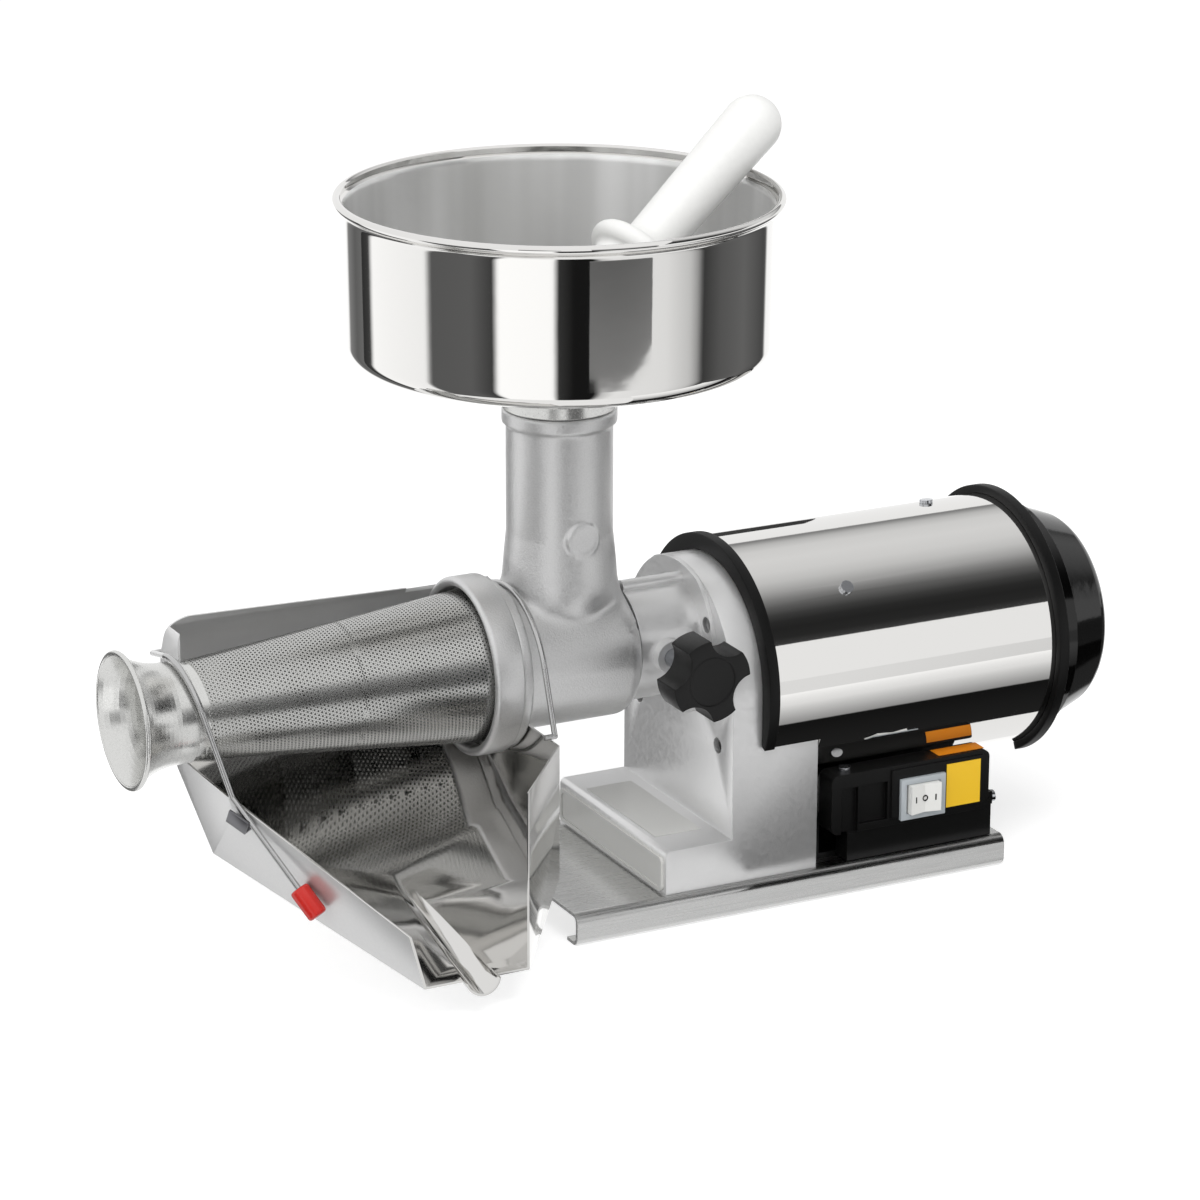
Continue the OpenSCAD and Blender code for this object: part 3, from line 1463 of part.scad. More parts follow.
// A bail: a pintle in its eye, a tangent to the bend, the bend, and a tangent to its foot.
// The bend lies in a plane that leans forward by "slope" as it rises.
module bail(plane_x, slope, mid_y, mid_z, bend_r, corner_x, pintle_x, foot) {
    lean = atan(slope);
    eye_v = (eye_z - mid_z) / cos(lean);
    foot_v = (foot[1] - mid_z) / cos(lean);
    eye_u = eye_y - mid_y;
    foot_u = foot[0] - mid_y;
    start = atan2(eye_v, eye_u) + acos(bend_r / norm([eye_u, eye_v]));
    end = atan2(foot_v, foot_u) + 360 - acos(bend_r / norm([foot_u, foot_v]));
    corner = [corner_x, eye_y, eye_z];
    leave = [plane_x - bend_r * sin(start) * sin(lean), mid_y + bend_r * cos(start),
             mid_z + bend_r * sin(start) * cos(lean)];
    wire_line(corner, [pintle_x, eye_y, eye_z]);
    wire_bend(corner);
    wire_line(corner, leave);
    translate([plane_x, mid_y, mid_z]) rotate([0, -lean, 0]) {
        wire_line([0, foot_u, foot_v], [0, bend_r * cos(end), bend_r * sin(end)]);
        wire_bend([0, bend_r * cos(start), bend_r * sin(start)]);
        wire_bend([0, bend_r * cos(end), bend_r * sin(end)]);
        wire_bend([0, foot_u, foot_v]);
        rotate([90, 0, 90]) rotate([0, 0, start]) rotate_extrude(angle = end - start)
            translate([bend_r, 0]) circle(r = wire_r, $fn = 24);
    }
}

front_plane_x = front_bail_foot_x - (screw_z - front_bail_foot_z) * front_bail_slope;
front_corner_x = -tray_front - tray_sheet - 2 * wire_r;
front_foot = [front_bail_foot_x, front_bail_foot_y, front_bail_foot_z];
cap_at = [cap_x, cap_y, cap_z];
cap_run = cap_at - front_foot;

module front_bail() {
    color(steel) {
        bail(front_plane_x, front_bail_slope, 0, screw_z, front_bail_r, front_corner_x,
             front_eye_x + eye_len - part_gap,
             [front_bail_foot_y, front_bail_foot_z]);
        wire_line(front_foot, cap_at);
    }
}

module bail_cap() {
    color("red") translate(cap_at)
        rotate([0, atan2(norm([cap_run[0], cap_run[1]]), cap_run[2]), atan2(cap_run[1], cap_run[0])])
            difference() {
        translate([0, 0, -cap_len / 2]) cylinder(r = cap_r, h = cap_len, $fn = 32);
        translate([0, 0, -cap_len]) cylinder(r = wire_r, h = cap_len, $fn = 24);
    }
}

module rear_bail() {
    hook = [rear_bail_x, rear_foot_y, rear_foot_z];
    color(steel) {
        bail(rear_bail_x, 0, rear_bail_y, rear_bail_z, rear_bail_r, rear_bail_x, rear_eye_x + part_gap,
             [rear_foot_y, rear_foot_z]);
        wire_line(hook, hook - [rear_hook, 0, 0]);
    }
}

seat() base_plate();
seat() gear_housing();
seat() foot_bolts();
seat() badge_plate();
seat() foot_label();
seat() barrel_socket();
seat() shaft_seal();
seat() motor_screws();
seat() clamp_pad();
seat() clamp_stud();
seat() clamp_knob();
seat() output_shaft();
seat() output_gear();
seat() output_bushes();
seat() lay_shaft();
seat() lay_gear();
seat() lay_pinion();
seat() motor_front_bell();
seat() motor_frame();
seat() motor_rear_bell();
seat() stator();
seat() windings();
seat() rotor();
seat() motor_shaft();
seat() motor_pinion();
seat() motor_bearings();
seat() cooling_fan();
seat() fan_cover();
seat() motor_cover();
seat() front_edge_trim();
seat() rear_edge_trim();
seat() cover_screws();
seat() switch_box();
seat() switch_box_lid();
seat() lid_screws();
seat() start_capacitor();
seat() cable_gland();
seat() rocker_bezel();
seat() rocker();
seat() yellow_label();
seat() amber_label();
seat() strainer_body();
seat() collar();
seat() strainer_cone();
seat() pulp_nozzle();
seat() auger();
seat() hopper();
seat() pestle();
seat() juice_tray();
seat() bail_eyes();
seat() front_bail();
seat() bail_cap();
seat() rear_bail();
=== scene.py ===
import math

import bmesh
import bpy
import numpy as np
from mathutils import Matrix, Vector


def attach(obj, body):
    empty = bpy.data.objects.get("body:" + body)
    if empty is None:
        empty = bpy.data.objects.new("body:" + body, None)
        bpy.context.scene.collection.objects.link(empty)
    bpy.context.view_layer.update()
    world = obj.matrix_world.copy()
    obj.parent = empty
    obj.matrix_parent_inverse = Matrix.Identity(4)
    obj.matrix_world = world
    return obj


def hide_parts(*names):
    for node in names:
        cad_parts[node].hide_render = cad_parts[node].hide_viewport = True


# %% [markdown]
# # An electric tomato strainer
# A geared motor turns an auger inside a perforated cone. Tomatoes go down the hopper, juice falls
# through the cone into the tray, and skins leave by the nozzle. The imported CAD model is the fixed
# frame: pieces that already have the right shape only get a finish, and the pieces whose real
# surface is softer, thinner or finer than the solid are made here and ride on the same bodies.

# %% Load the frame
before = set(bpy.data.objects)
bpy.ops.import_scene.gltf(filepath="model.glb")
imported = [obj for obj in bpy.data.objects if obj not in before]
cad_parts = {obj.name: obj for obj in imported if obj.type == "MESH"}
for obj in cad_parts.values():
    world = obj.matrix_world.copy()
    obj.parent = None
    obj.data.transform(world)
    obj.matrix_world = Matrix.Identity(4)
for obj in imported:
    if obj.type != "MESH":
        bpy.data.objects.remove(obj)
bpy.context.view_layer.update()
print("nodes:", len(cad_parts))

# %% [markdown]
# Sizes are written in millimetres, as on a drawing. The machine's own drawing has its origin under
# the feed neck, and the frame's origin is under the middle of the box, so each drawn point is moved
# by the same small shift.

# %% Units and the drawing's shift
MM = 0.001
SHIFT = Vector((-32.25, 6.5, 0.0))
# The auger's axis and the motor's axis above the floor
SCREW_Z = 138.8
MOTOR_Z = 117.6


def drawn(x, y, z):
    """A drawing point in millimetres, as a frame point in metres."""
    return (Vector((x, y, z)) + SHIFT) * MM


# %% [markdown]
# ## Camera
# The photograph was taken with a long lens from above and to the left of the motor. Its place and
# turn were found from the rims and straight edges, and its frame is square.

# %% The camera
SENSOR_MM = 36.0
LENS_MM = 137.7145
CAMERA_AT = (-1041.226, -2024.479, 917.843)
CAMERA_AHEAD = Vector((0.43088432, 0.84636, -0.31362))
CAMERA_RIGHT = Vector((0.89153788, -0.45293756, 0.00284864))
CAMERA_SHIFT = (-0.00191, -0.003565)

ahead = CAMERA_AHEAD.normalized()
right = (CAMERA_RIGHT - ahead * CAMERA_RIGHT.dot(ahead)).normalized()
up = right.cross(ahead)
camera_data = bpy.data.cameras.new("camera")
camera_data.sensor_width = SENSOR_MM
camera_data.lens = LENS_MM
camera_data.shift_x, camera_data.shift_y = CAMERA_SHIFT
camera_data.clip_end = 50.0
camera = bpy.data.objects.new("camera", camera_data)
camera.matrix_world = Matrix.Translation(Vector(CAMERA_AT) * MM) @ Matrix(
    (right, up, -ahead)).transposed().to_4x4()
bpy.context.collection.objects.link(camera)
bpy.context.scene.camera = camera
print("camera at", [round(c, 3) for c in camera.location])

# %% [markdown]
# ## Light
# Polished steel has no colour of its own: it shows what stands around it. The studio is a white
# room with a few dark boards, which give the steel its long black bands. The boards are seen only
# in reflections, and a soft lamp above and in front gives the dull pieces their shape.

# %% Colour and node helpers


def linear(code, alpha=1.0):
    """An sRGB hex colour as linear light."""
    parts = [int(code[i:i + 2], 16) / 255 for i in (1, 3, 5)]
    return tuple(p / 12.92 if p <= 0.04045 else ((p + 0.055) / 1.055) ** 2.4 for p in parts) + (alpha,)


MATHS = "ShaderNodeMath"
WHITE = (1.0, 1.0, 1.0, 1.0)


def add(tree, kind, sockets=None, **settings):
    """Adds a node with its settings. A socket takes a constant, another socket, or a node's first."""
    node = tree.nodes.new(kind)
    for name, setting in settings.items():
        setattr(node, name, setting)
    for name, given in (sockets or {}).items():
        if isinstance(given, bpy.types.Node):
            given = given.outputs[0]
        if isinstance(given, bpy.types.NodeSocket):
            tree.links.new(given, node.inputs[name])
        else:
            node.inputs[name].default_value = given
    return node


def empty_material(name):
    """A material with no nodes yet, and its tree."""
    material = bpy.data.materials.new(name)
    material.use_nodes = True
    material.node_tree.nodes.clear()
    return material, material.node_tree


def looked_at(tree):
    """One where the eye, a gloss or a clear piece looks, and zero where dull light is gathered."""
    path = add(tree, "ShaderNodeLightPath").outputs
    seen = add(tree, MATHS, {0: path["Is Camera Ray"], 1: path["Is Glossy Ray"]}, operation="MAXIMUM")
    return add(tree, MATHS, {0: seen, 1: path["Is Transmission Ray"]}, operation="MAXIMUM")


# %% [markdown]
# The world is what a room of white paper would be. It could be one plain strength, but then the dull
# castings are as bright as the paper, so it is full white where it is looked at and softer where it
# lights.

# %% The white room
WORLD_SEEN = 1.0
WORLD_LIGHT = 0.62
world = bpy.data.worlds.new("studio")
bpy.context.scene.world = world
world.use_nodes = True
sky = world.node_tree
sky.nodes.clear()
strength = add(sky, "ShaderNodeMapRange", {"Value": looked_at(sky), "To Min": WORLD_LIGHT,
                                           "To Max": WORLD_SEEN})
glow = add(sky, "ShaderNodeBackground", {"Color": WHITE, "Strength": strength})
add(sky, "ShaderNodeOutputWorld", {"Surface": glow})
bpy.context.scene.view_settings.view_transform = "Standard"
print("world strength:", WORLD_LIGHT, "to light by and", WORLD_SEEN, "to look at")

# %% Lamps
LAMP_AIM = Vector((0.0, 0.0, 0.15))


def lamp(name, at, size, power):
    """A soft lamp aimed at the machine, and not seen in its steel."""
    data = bpy.data.lights.new(name, "AREA")
    data.shape = "RECTANGLE"
    data.size, data.size_y = size
    data.energy = power
    item = bpy.data.objects.new(name, data)
    item.location = at
    item.rotation_euler = (LAMP_AIM - Vector(at)).to_track_quat("-Z", "Y").to_euler()
    item.visible_glossy = False
    bpy.context.collection.objects.link(item)
    print(name, power, "W")


lamp("top_softbox", (-0.3, -0.9, 1.7), (1.4, 1.0), 17.0)
lamp("left_softbox", (-1.6, -0.6, 0.9), (1.0, 1.0), 8.0)

# %% Floor
# It takes a soft shadow, and a little glow where it is looked at lifts it to the white of the room.
FLOOR_HALF = 7.0
FLOOR_GLOW = 0.52
floor_mesh = bpy.data.meshes.new("floor")
floor_mesh.from_pydata([(-FLOOR_HALF, -FLOOR_HALF, 0), (FLOOR_HALF, -FLOOR_HALF, 0),
                        (FLOOR_HALF, FLOOR_HALF, 0), (-FLOOR_HALF, FLOOR_HALF, 0)], [], [(0, 1, 2, 3)])
floor = bpy.data.objects.new("floor", floor_mesh)
bpy.context.collection.objects.link(floor)
floor.visible_glossy = False
floor_paint, tree = empty_material("white_studio_floor")
dull = add(tree, "ShaderNodeBsdfDiffuse", {"Color": linear("#E8E8E8")})
extra = add(tree, "ShaderNodeEmission", {"Color": WHITE, "Strength": FLOOR_GLOW})
lit = add(tree, "ShaderNodeAddShader", {0: dull, 1: extra})
mixed = add(tree, "ShaderNodeMixShader", {0: looked_at(tree), 1: dull, 2: lit})
add(tree, "ShaderNodeOutputMaterial", {"Surface": mixed})
floor_mesh.materials.append(floor_paint)
print("floor", 2 * FLOOR_HALF, "m square")

# %% [markdown]
# A board is placed where the steel looks for it. The hopper's wall is upright, so it mirrors a ring
# of the room a little below its own height, and each board there covers an arc of that ring. The
# motor's cover lies along X, so it mirrors a fan of directions across X, from the floor in front,
# over the top, to the wall behind.

# %% A board seen only in reflections
# The share of light that the polished steel sends back
STEEL_RETURNS = 0.77


def level(tone):
    """A tone from 0 to 255 as seen on screen, as the light a board must give."""
    return linear("#" + 3 * f"{round(tone):02X}")[0] / STEEL_RETURNS


def board(name, pairs, measure, tones):
    """A ribbon through pairs of points. It emits tones listed as (place, tone), placed by measure."""
    faces = [(2 * i, 2 * i + 2, 2 * i + 3, 2 * i + 1) for i in range(len(pairs) - 1)]
    mesh = bpy.data.meshes.new(name)
    mesh.from_pydata([point for pair in pairs for point in pair], [], faces)
    item = bpy.data.objects.new(name, mesh)
    bpy.context.collection.objects.link(item)
    for ray in ("camera", "diffuse", "transmission", "volume_scatter", "shadow"):
        setattr(item, "visible_" + ray, False)
    paint, tree = empty_material(name + "_paint")
    first, last = tones[0][0], tones[-1][0]
    spot = add(tree, "ShaderNodeSeparateXYZ", {0: add(tree, "ShaderNodeTexCoord").outputs["Object"]})
    where = add(tree, "ShaderNodeMapRange", {"Value": measure(tree, spot.outputs), "From Min": first,
                                             "From Max": last})
    ramp = add(tree, "ShaderNodeValToRGB", {"Fac": where})
    stops = ramp.color_ramp.elements
    while len(stops) < len(tones):
        stops.new(0.5)
    for stop, (place, tone) in zip(stops, tones):
        stop.position = (place - first) / (last - first)
        stop.color = (level(tone),) * 3 + (1,)
    glow = add(tree, "ShaderNodeEmission", {"Color": ramp, "Strength": 1.0})
    add(tree, "ShaderNodeOutputMaterial", {"Surface": glow})
    mesh.materials.append(paint)
    print(name, "with", len(tones), "tones")


def flat_board(name, low, high, axis, tones):
    """A flat board between two corners, its tones placed along one axis."""
    pairs = [((x, low[1], low[2]), (x, high[1], high[2])) for x in (low[0], high[0])]
    board(name, pairs, lambda tree, spot: spot[axis], tones)


# %% The drum round the hopper
# Each place is a turn of the hopper's wall, in degrees from -Y towards +X, and the wall sends the
# camera's view on at twice that turn. The drum is far off and below the floor, which reflections
# don't see, so only an upright wall finds it.
HOPPER_AXIS = drawn(0, 0, 0)
DRUM_R, DRUM_LOW, DRUM_HIGH = 2.5, -2.5, -0.05
DRUM_STEPS = 120
VIEW_TURN = 27.0
WALL_TONES = [(-97, 70), (-90, 46), (-86.5, 60), (-84.5, 246), (-64, 236), (-62, 84), (-50, 88),
              (-44, 58), (-42.5, 253), (-28.5, 250), (-27, 50), (-23, 22), (-17.5, 22), (-15.5, 190),
              (-12, 224), (2, 216), (9, 190), (11.5, 150), (13.5, 54), (20, 82), (30, 95), (41, 70),
              (43, 74), (44.5, 238), (60, 252), (77, 240), (79, 120), (85, 90), (96, 116)]


drum_tones = [(2 * wall + VIEW_TURN, tone) for wall, tone in WALL_TONES]
start, end = drum_tones[0][0], drum_tones[-1][0]
print("drum from", round(start), "to", round(end))
drum = []
for i in range(DRUM_STEPS + 1):
    a = math.radians(start + (end - start) * i / DRUM_STEPS)
    x, y = HOPPER_AXIS.x + DRUM_R * math.sin(a), HOPPER_AXIS.y - DRUM_R * math.cos(a)
    drum.append(((x, y, DRUM_LOW), (x, y, DRUM_HIGH)))


def round_hopper(tree, spot):
    """The turn about the hopper, in degrees from -Y."""
    # Measured from the drum's middle, so the jump from +180 to -180 falls where no board is
    middle = (start + end) / 2
    from_axis = add(tree, "ShaderNodeCombineXYZ", {"X": spot[0], "Y": spot[1]})
    turned_back = add(tree, "ShaderNodeVectorRotate", {
        "Vector": from_axis, "Center": (HOPPER_AXIS.x, HOPPER_AXIS.y, 0.0),
        "Angle": -math.radians(middle)}, rotation_type="Z_AXIS")
    local = add(tree, "ShaderNodeVectorMath", {0: turned_back, 1: (HOPPER_AXIS.x, HOPPER_AXIS.y, 0.0)},
                operation="SUBTRACT")
    part = add(tree, "ShaderNodeSeparateXYZ", {0: local}).outputs
    ahead_of = add(tree, MATHS, {0: part[1], 1: -1.0}, operation="MULTIPLY")
    turn = add(tree, MATHS, {0: part[0], 1: ahead_of}, operation="ARCTAN2")
    degrees = add(tree, MATHS, {0: turn}, operation="DEGREES")
    return add(tree, MATHS, {0: degrees, 1: middle}, operation="ADD")


board("board_drum", drum, round_hopper, drum_tones)

# %% The fan of boards over the motor's cover
# The places are degrees up from -Y, about the motor's axis. It starts past the strainer's end, so
# the cone doesn't mirror it.
MOTOR_AXIS = drawn(0, 0, MOTOR_Z)
FAN_R = 0.9
FAN_X = (0.32, 2.8)
FAN_STEPS = 60
FAN_TONES = [(27, 60), (29, 52), (33, 38), (41, 34), (47, 40), (53, 58), (60, 88), (67, 122), (75, 160),
             (84, 188), (94, 202), (108, 208), (122, 202), (131, 180), (139, 120), (141, 150)]
fan_start, fan_end = FAN_TONES[0][0], FAN_TONES[-1][0]
fan = []
for i in range(FAN_STEPS + 1):
    a = math.radians(fan_start + (fan_end - fan_start) * i / FAN_STEPS)
    y, z = MOTOR_AXIS.y - FAN_R * math.cos(a), MOTOR_AXIS.z + FAN_R * math.sin(a)
    fan.append(((FAN_X[0], y, z), (FAN_X[1], y, z)))


def round_motor(tree, spot):
    """The turn about the motor's axis, in degrees up from -Y."""
    rise = add(tree, MATHS, {0: spot[2], 1: MOTOR_AXIS.z}, operation="SUBTRACT")
    ahead_of = add(tree, MATHS, {0: MOTOR_AXIS.y, 1: spot[1]}, operation="SUBTRACT")
    turn = add(tree, MATHS, {0: rise, 1: ahead_of}, operation="ARCTAN2")
    return add(tree, MATHS, {0: turn}, operation="DEGREES")


board("board_over", fan, round_motor, FAN_TONES)

# %% The low board in front of the base, and the one behind the motor
# The low one lies just above the base's lip, so the lip doesn't mirror it and the cover does. It stands
# for the floor in front as the cover mirrors it: light far off, with a painted shadow of the machine,
# dark, next to the base.
ALONG_X, ALONG_Y, ALONG_Z = range(3)
LOW_Z = 0.019
FLOOR_AND_SHADOW_TONES = [(-0.40, 244), (-0.25, 216), (-0.185, 176), (-0.147, 140), (-0.144, 18), (-0.061, 30)]
flat_board("board_low", (0.05, -0.40, LOW_Z), (0.52, -0.061, LOW_Z), ALONG_Y, FLOOR_AND_SHADOW_TONES)
BEHIND_TONES = [(0.14, 150), (0.22, 70), (0.44, 50)]
flat_board("board_behind", (0.14, 0.60, 0.17), (0.44, 0.60, 0.33), ALONG_X, BEHIND_TONES)

# %% The boards in front of the cone and the nozzle
# Both stand far enough off that the hopper's wall looks under them.
CONE_TONES = [(-0.15, 120), (0.0, 78), (0.25, 74), (0.7, 130), (1.0, 216)]
flat_board("board_cone", (-0.35, -1.6, -0.15), (0.62, -1.6, 1.0), ALONG_Z, CONE_TONES)
NOZZLE_TONES = [(-1.7, 110), (-1.2, 140), (-0.8, 210)]
flat_board("board_nozzle", (-1.7, -1.6, 0.1), (-0.8, -1.6, 0.9), ALONG_X, NOZZLE_TONES)

# %% [markdown]
# ## Finishes
# Each finish starts from the real material. Metals keep the default index of refraction: their
# colour is the reflection's tint, and their look comes from roughness and a faint grain.

# %% A base for every finish
GRAIN_DEPTH = 0.2


def finish(name, colour, metallic, roughness, grain_mm, grain, colour_to=None, rough_spread=0.0,
           stretch=(1, 1, 1), edge_mm=0.0, detail=2.0, shine=0.5, streak=0.0):
    """A surface with a grain of a real size, in millimetres, and edges rounded by the light."""
    material, tree = empty_material(name)
    place = add(tree, "ShaderNodeTexCoord").outputs["Object"]
    mapping = add(tree, "ShaderNodeMapping", {"Vector": place, "Scale": stretch})
    noise = add(tree, "ShaderNodeTexNoise", {"Vector": mapping, "Scale": 1 / (grain_mm * MM),
                                             "Detail": detail})
    shader = add(tree, "ShaderNodeBsdfPrincipled", {"Base Color": linear(colour), "Metallic": metallic,
                                                    "Roughness": roughness,
                                                    "Specular IOR Level": shine,
                                                    "Anisotropic": streak})
    if streak:
        # The rubbing went round the bowl, so reflections are drawn out up and down
        upright = add(tree, "ShaderNodeCombineXYZ", {"Z": 1.0})
        tree.links.new(upright.outputs[0], shader.inputs["Tangent"])
    if colour_to:
        mix = add(tree, "ShaderNodeMix", {0: noise.outputs["Fac"], 6: linear(colour),
                                          7: linear(colour_to)}, data_type="RGBA")
        tree.links.new(mix.outputs[2], shader.inputs["Base Color"])
    if rough_spread:
        spread = add(tree, "ShaderNodeMapRange", {"Value": noise.outputs["Fac"], "From Min": 0.3,
                                                  "From Max": 0.7, "To Min": roughness - rough_spread,
                                                  "To Max": roughness + rough_spread})
        tree.links.new(spread.outputs[0], shader.inputs["Roughness"])
    bump = add(tree, "ShaderNodeBump", {"Strength": grain, "Distance": grain_mm * MM * GRAIN_DEPTH,
                                        "Height": noise.outputs["Fac"]})
    if edge_mm:
        edge = add(tree, "ShaderNodeBevel", {"Radius": edge_mm * MM}, samples=4)
        tree.links.new(edge.outputs[0], bump.inputs["Normal"])
    tree.links.new(bump.outputs[0], shader.inputs["Normal"])
    add(tree, "ShaderNodeOutputMaterial", {"Surface": shader})
    return material


# %% Metals
# Bead-blasted cast aluminium: pale grey, dull, with a sparkle from its tiny dents, which are drawn
# three times too wide so that they show.
BLASTED = finish("blasted_cast_aluminium", "#C9C9C9", 0.86, 0.40, 0.9, 0.9, "#E4E4E4", 0.10, edge_mm=0.8,
                 detail=3.0)
# Satin cast aluminium: smoother and whiter, with long soft reflections.
SATIN = finish("satin_cast_aluminium", "#E2E2E2", 0.78, 0.36, 2.5, 0.10, "#E6E6E6", 0.05, edge_mm=0.7)
# Turned aluminium, hidden in the motor: bright, with a fine grain left by the tool.
MACHINED = finish("machined_aluminium", "#BFC0C2", 1.0, 0.30, 0.6, 0.2, edge_mm=0.3)
# Mirror-polished stainless sheet: almost a looking glass, slightly warm.
MIRROR = finish("mirror_stainless", "#E4E3E1", 1.0, 0.04, 18.0, 0.006)
# Satin stainless: rubbed round the bowl, so its reflections smear. Its soft pale bands up the wall are
# painted reflections: its colour runs from grey to white in long upright streaks.
SATIN_STEEL_PAINTED_BANDS = finish("rubbed_stainless_painted_bands", "#B4B4B2", 0.72, 0.30, 26.0, 0.0, "#FFFFFF",
                     stretch=(1, 1, 0.02), streak=0.85)
# The tray's outside is rubbed, so it shows soft greys instead of pictures.
RUBBED_SHEET = finish("rubbed_tray_sheet", "#D9D9D9", 0.7, 0.38, 1.5, 0.04, "#D2D2D2")
# The tray's far wall is given a pale, mostly dull finish, so it takes more light than it mirrors: painted
# light that stands in for the bright room this wall mirrors.
FAR_WALL_PAINTED_LIGHT = finish("far_wall_painted_light", "#E8E8E8", 0.25, 0.40, 40.0, 0.0, "#D0D0D0")
# The folded hook is the same sheet, drawn in a darker, duller grey.
HOOK_SHEET = finish("folded_hook", "#77777A", 1.0, 0.35, 1.0, 0.05, edge_mm=0.2)
# The tray's inside is bent mirror sheet, whose slow waves pull the reflections about.
BENT_MIRROR = finish("bent_mirror_sheet", "#DAD9D7", 1.0, 0.07, 30.0, 0.012)
# Brushed stainless plate: fine scratches along X, which dim and widen the highlights.
BRUSHED = finish("brushed_stainless", "#CFCFCE", 1.0, 0.28, 0.5, 0.25, stretch=(0.02, 1, 1),
                 rough_spread=0.06, edge_mm=0.5)
# Punched stainless: the press has taken the mirror off the sheet.
PERFORATED = finish("perforated_stainless", "#C9C9C7", 1.0, 0.24, 0.8, 0.05)
# Hand-polished stainless: bright, but cloudy in places.
POLISHED = finish("polished_stainless", "#DEDEDC", 1.0, 0.24, 1.0, 0.06, "#D2D2D0", 0.05, edge_mm=0.3)
# Drawn wire: a thin bright line along its length.
WIRE = finish("drawn_stainless_wire", "#BFBFBF", 1.0, 0.22, 0.5, 0.1)
# Zinc-plated screws: bright and a little blue.
SCREW_STEEL = finish("zinc_plated_steel", "#C6C8CC", 1.0, 0.2, 0.8, 0.1, edge_mm=0.25)
# Blackened screws: dark and dull, so they read as holes.
BLACK_OXIDE = finish("black_oxide_screws", "#101010", 0.6, 0.40, 0.8, 0.1, edge_mm=0.25)
# Hardened shafts and pinions: ground, and darker than stainless.
HARD_STEEL = finish("hardened_steel", "#8E9094", 1.0, 0.28, 0.8, 0.1, edge_mm=0.25)
# Bronze gears and bushes: warm brown with a soft shine.
BRONZE = finish("plain_bronze", "#B98A4A", 1.0, 0.3, 0.8, 0.1, edge_mm=0.25)
# The stator and rotor are stacked sheets, so their sides show fine lines across X.
LAMINATE = finish("stacked_steel_sheet", "#56585C", 1.0, 0.45, 0.5, 0.4, stretch=(4, 0.1, 0.1))
# Enamelled copper wire: red brown under a thin varnish.
COPPER = finish("enamelled_copper_wire", "#A8602E", 1.0, 0.35, 0.8, 0.8, stretch=(0.2, 1, 1))

# %% Plastics and rubber
# Moulded black plastic is never fully black: its skin picks up a fine spark-eroded grain.
BLACK_MATTE = finish("moulded_black_nylon", "#060606", 0.0, 0.42, 0.7, 0.12, "#0B0B0B", 0.05, edge_mm=0.6,
                     shine=0.32)
# The fan's cover is moulded in a polished tool, so it mirrors the room faintly.
BLACK_GLOSS = finish("gloss_black_abs", "#040404", 0.0, 0.10, 6.0, 0.03, edge_mm=0.6, shine=0.4)
# Rubber edging: the deepest black, with hardly any shine.
RUBBER = finish("black_rubber_edging", "#050505", 0.0, 0.50, 1.0, 0.1, edge_mm=0.8, shine=0.25)
# Food-grade polyethylene: white and waxy, with a wide soft highlight.
WHITE_FOOD = finish("white_polyethylene", "#EDEDEB", 0.0, 0.38, 3.0, 0.04, "#E6E6E4")
# The rocker is a hard white plastic with a clean highlight.
WHITE_SWITCH = finish("white_rocker_plastic", "#E9E9E6", 0.0, 0.22, 3.0, 0.02, edge_mm=0.4)
# The rocker's frame looks grey because its clear plastic shows what is behind it.
CLEAR_GREY = finish("grey_clear_plastic", "#AEB4B8", 0.0, 0.15, 3.0, 0.02, edge_mm=0.3)
# Label films: flat, even colours with a slight shine.
LABEL_WHITE = finish("white_label_film", "#D9D9D6", 0.0, 0.30, 5.0, 0.03)
LABEL_YELLOW = finish("yellow_label_film", "#F2C21A", 0.0, 0.35, 5.0, 0.03)
LABEL_AMBER = finish("amber_label_film", "#E58A17", 0.0, 0.35, 5.0, 0.03)
# Dipped vinyl: a thick glossy red skin with soft ends.
RED_CAP = finish("dipped_red_vinyl", "#B81D14", 0.0, 0.25, 2.0, 0.05, edge_mm=0.6)
print("materials:", len(bpy.data.materials))

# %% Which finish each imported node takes
FINISHES = {
    "base_plate": BRUSHED, "gear_housing": SATIN, "foot_bolts": SCREW_STEEL,
    "badge_plate": LABEL_WHITE, "foot_label": LABEL_WHITE, "barrel_socket": SATIN,
    "shaft_seal": RUBBER, "motor_screws": BLACK_OXIDE, "clamp_pad": BRONZE,
    "clamp_stud": HARD_STEEL, "clamp_knob": BLACK_MATTE, "output_shaft": HARD_STEEL,
    "output_gear": BRONZE, "output_bushes": BRONZE, "lay_shaft": HARD_STEEL, "lay_gear": BRONZE,
    "lay_pinion": HARD_STEEL, "motor_front_bell": MACHINED, "motor_frame": BRUSHED,
    "motor_rear_bell": MACHINED, "stator": LAMINATE, "windings": COPPER, "rotor": LAMINATE,
    "motor_shaft": HARD_STEEL, "motor_pinion": HARD_STEEL, "motor_bearings": HARD_STEEL,
    "cooling_fan": BLACK_MATTE, "fan_cover": BLACK_GLOSS, "motor_cover": MIRROR,
    "front_edge_trim": RUBBER, "rear_edge_trim": RUBBER, "cover_screws": SCREW_STEEL,
    "switch_box": BLACK_MATTE, "switch_box_lid": BLACK_MATTE, "lid_screws": SCREW_STEEL,
    "start_capacitor": WHITE_SWITCH, "cable_gland": BLACK_MATTE, "rocker_bezel": CLEAR_GREY,
    "rocker": WHITE_SWITCH, "yellow_label": LABEL_YELLOW, "amber_label": LABEL_AMBER,
    "strainer_body": BLASTED, "collar": BLASTED, "strainer_cone": PERFORATED,
    "pulp_nozzle": POLISHED, "auger": WHITE_FOOD, "hopper": MIRROR, "pestle": WHITE_FOOD,
    "juice_tray": MIRROR, "bail_eyes": POLISHED, "front_bail": WIRE, "bail_cap": RED_CAP,
    "rear_bail": WIRE}
for name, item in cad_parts.items():
    item.data.materials.clear()
    item.data.materials.append(FINISHES[name])
print("finished nodes:", len(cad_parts))

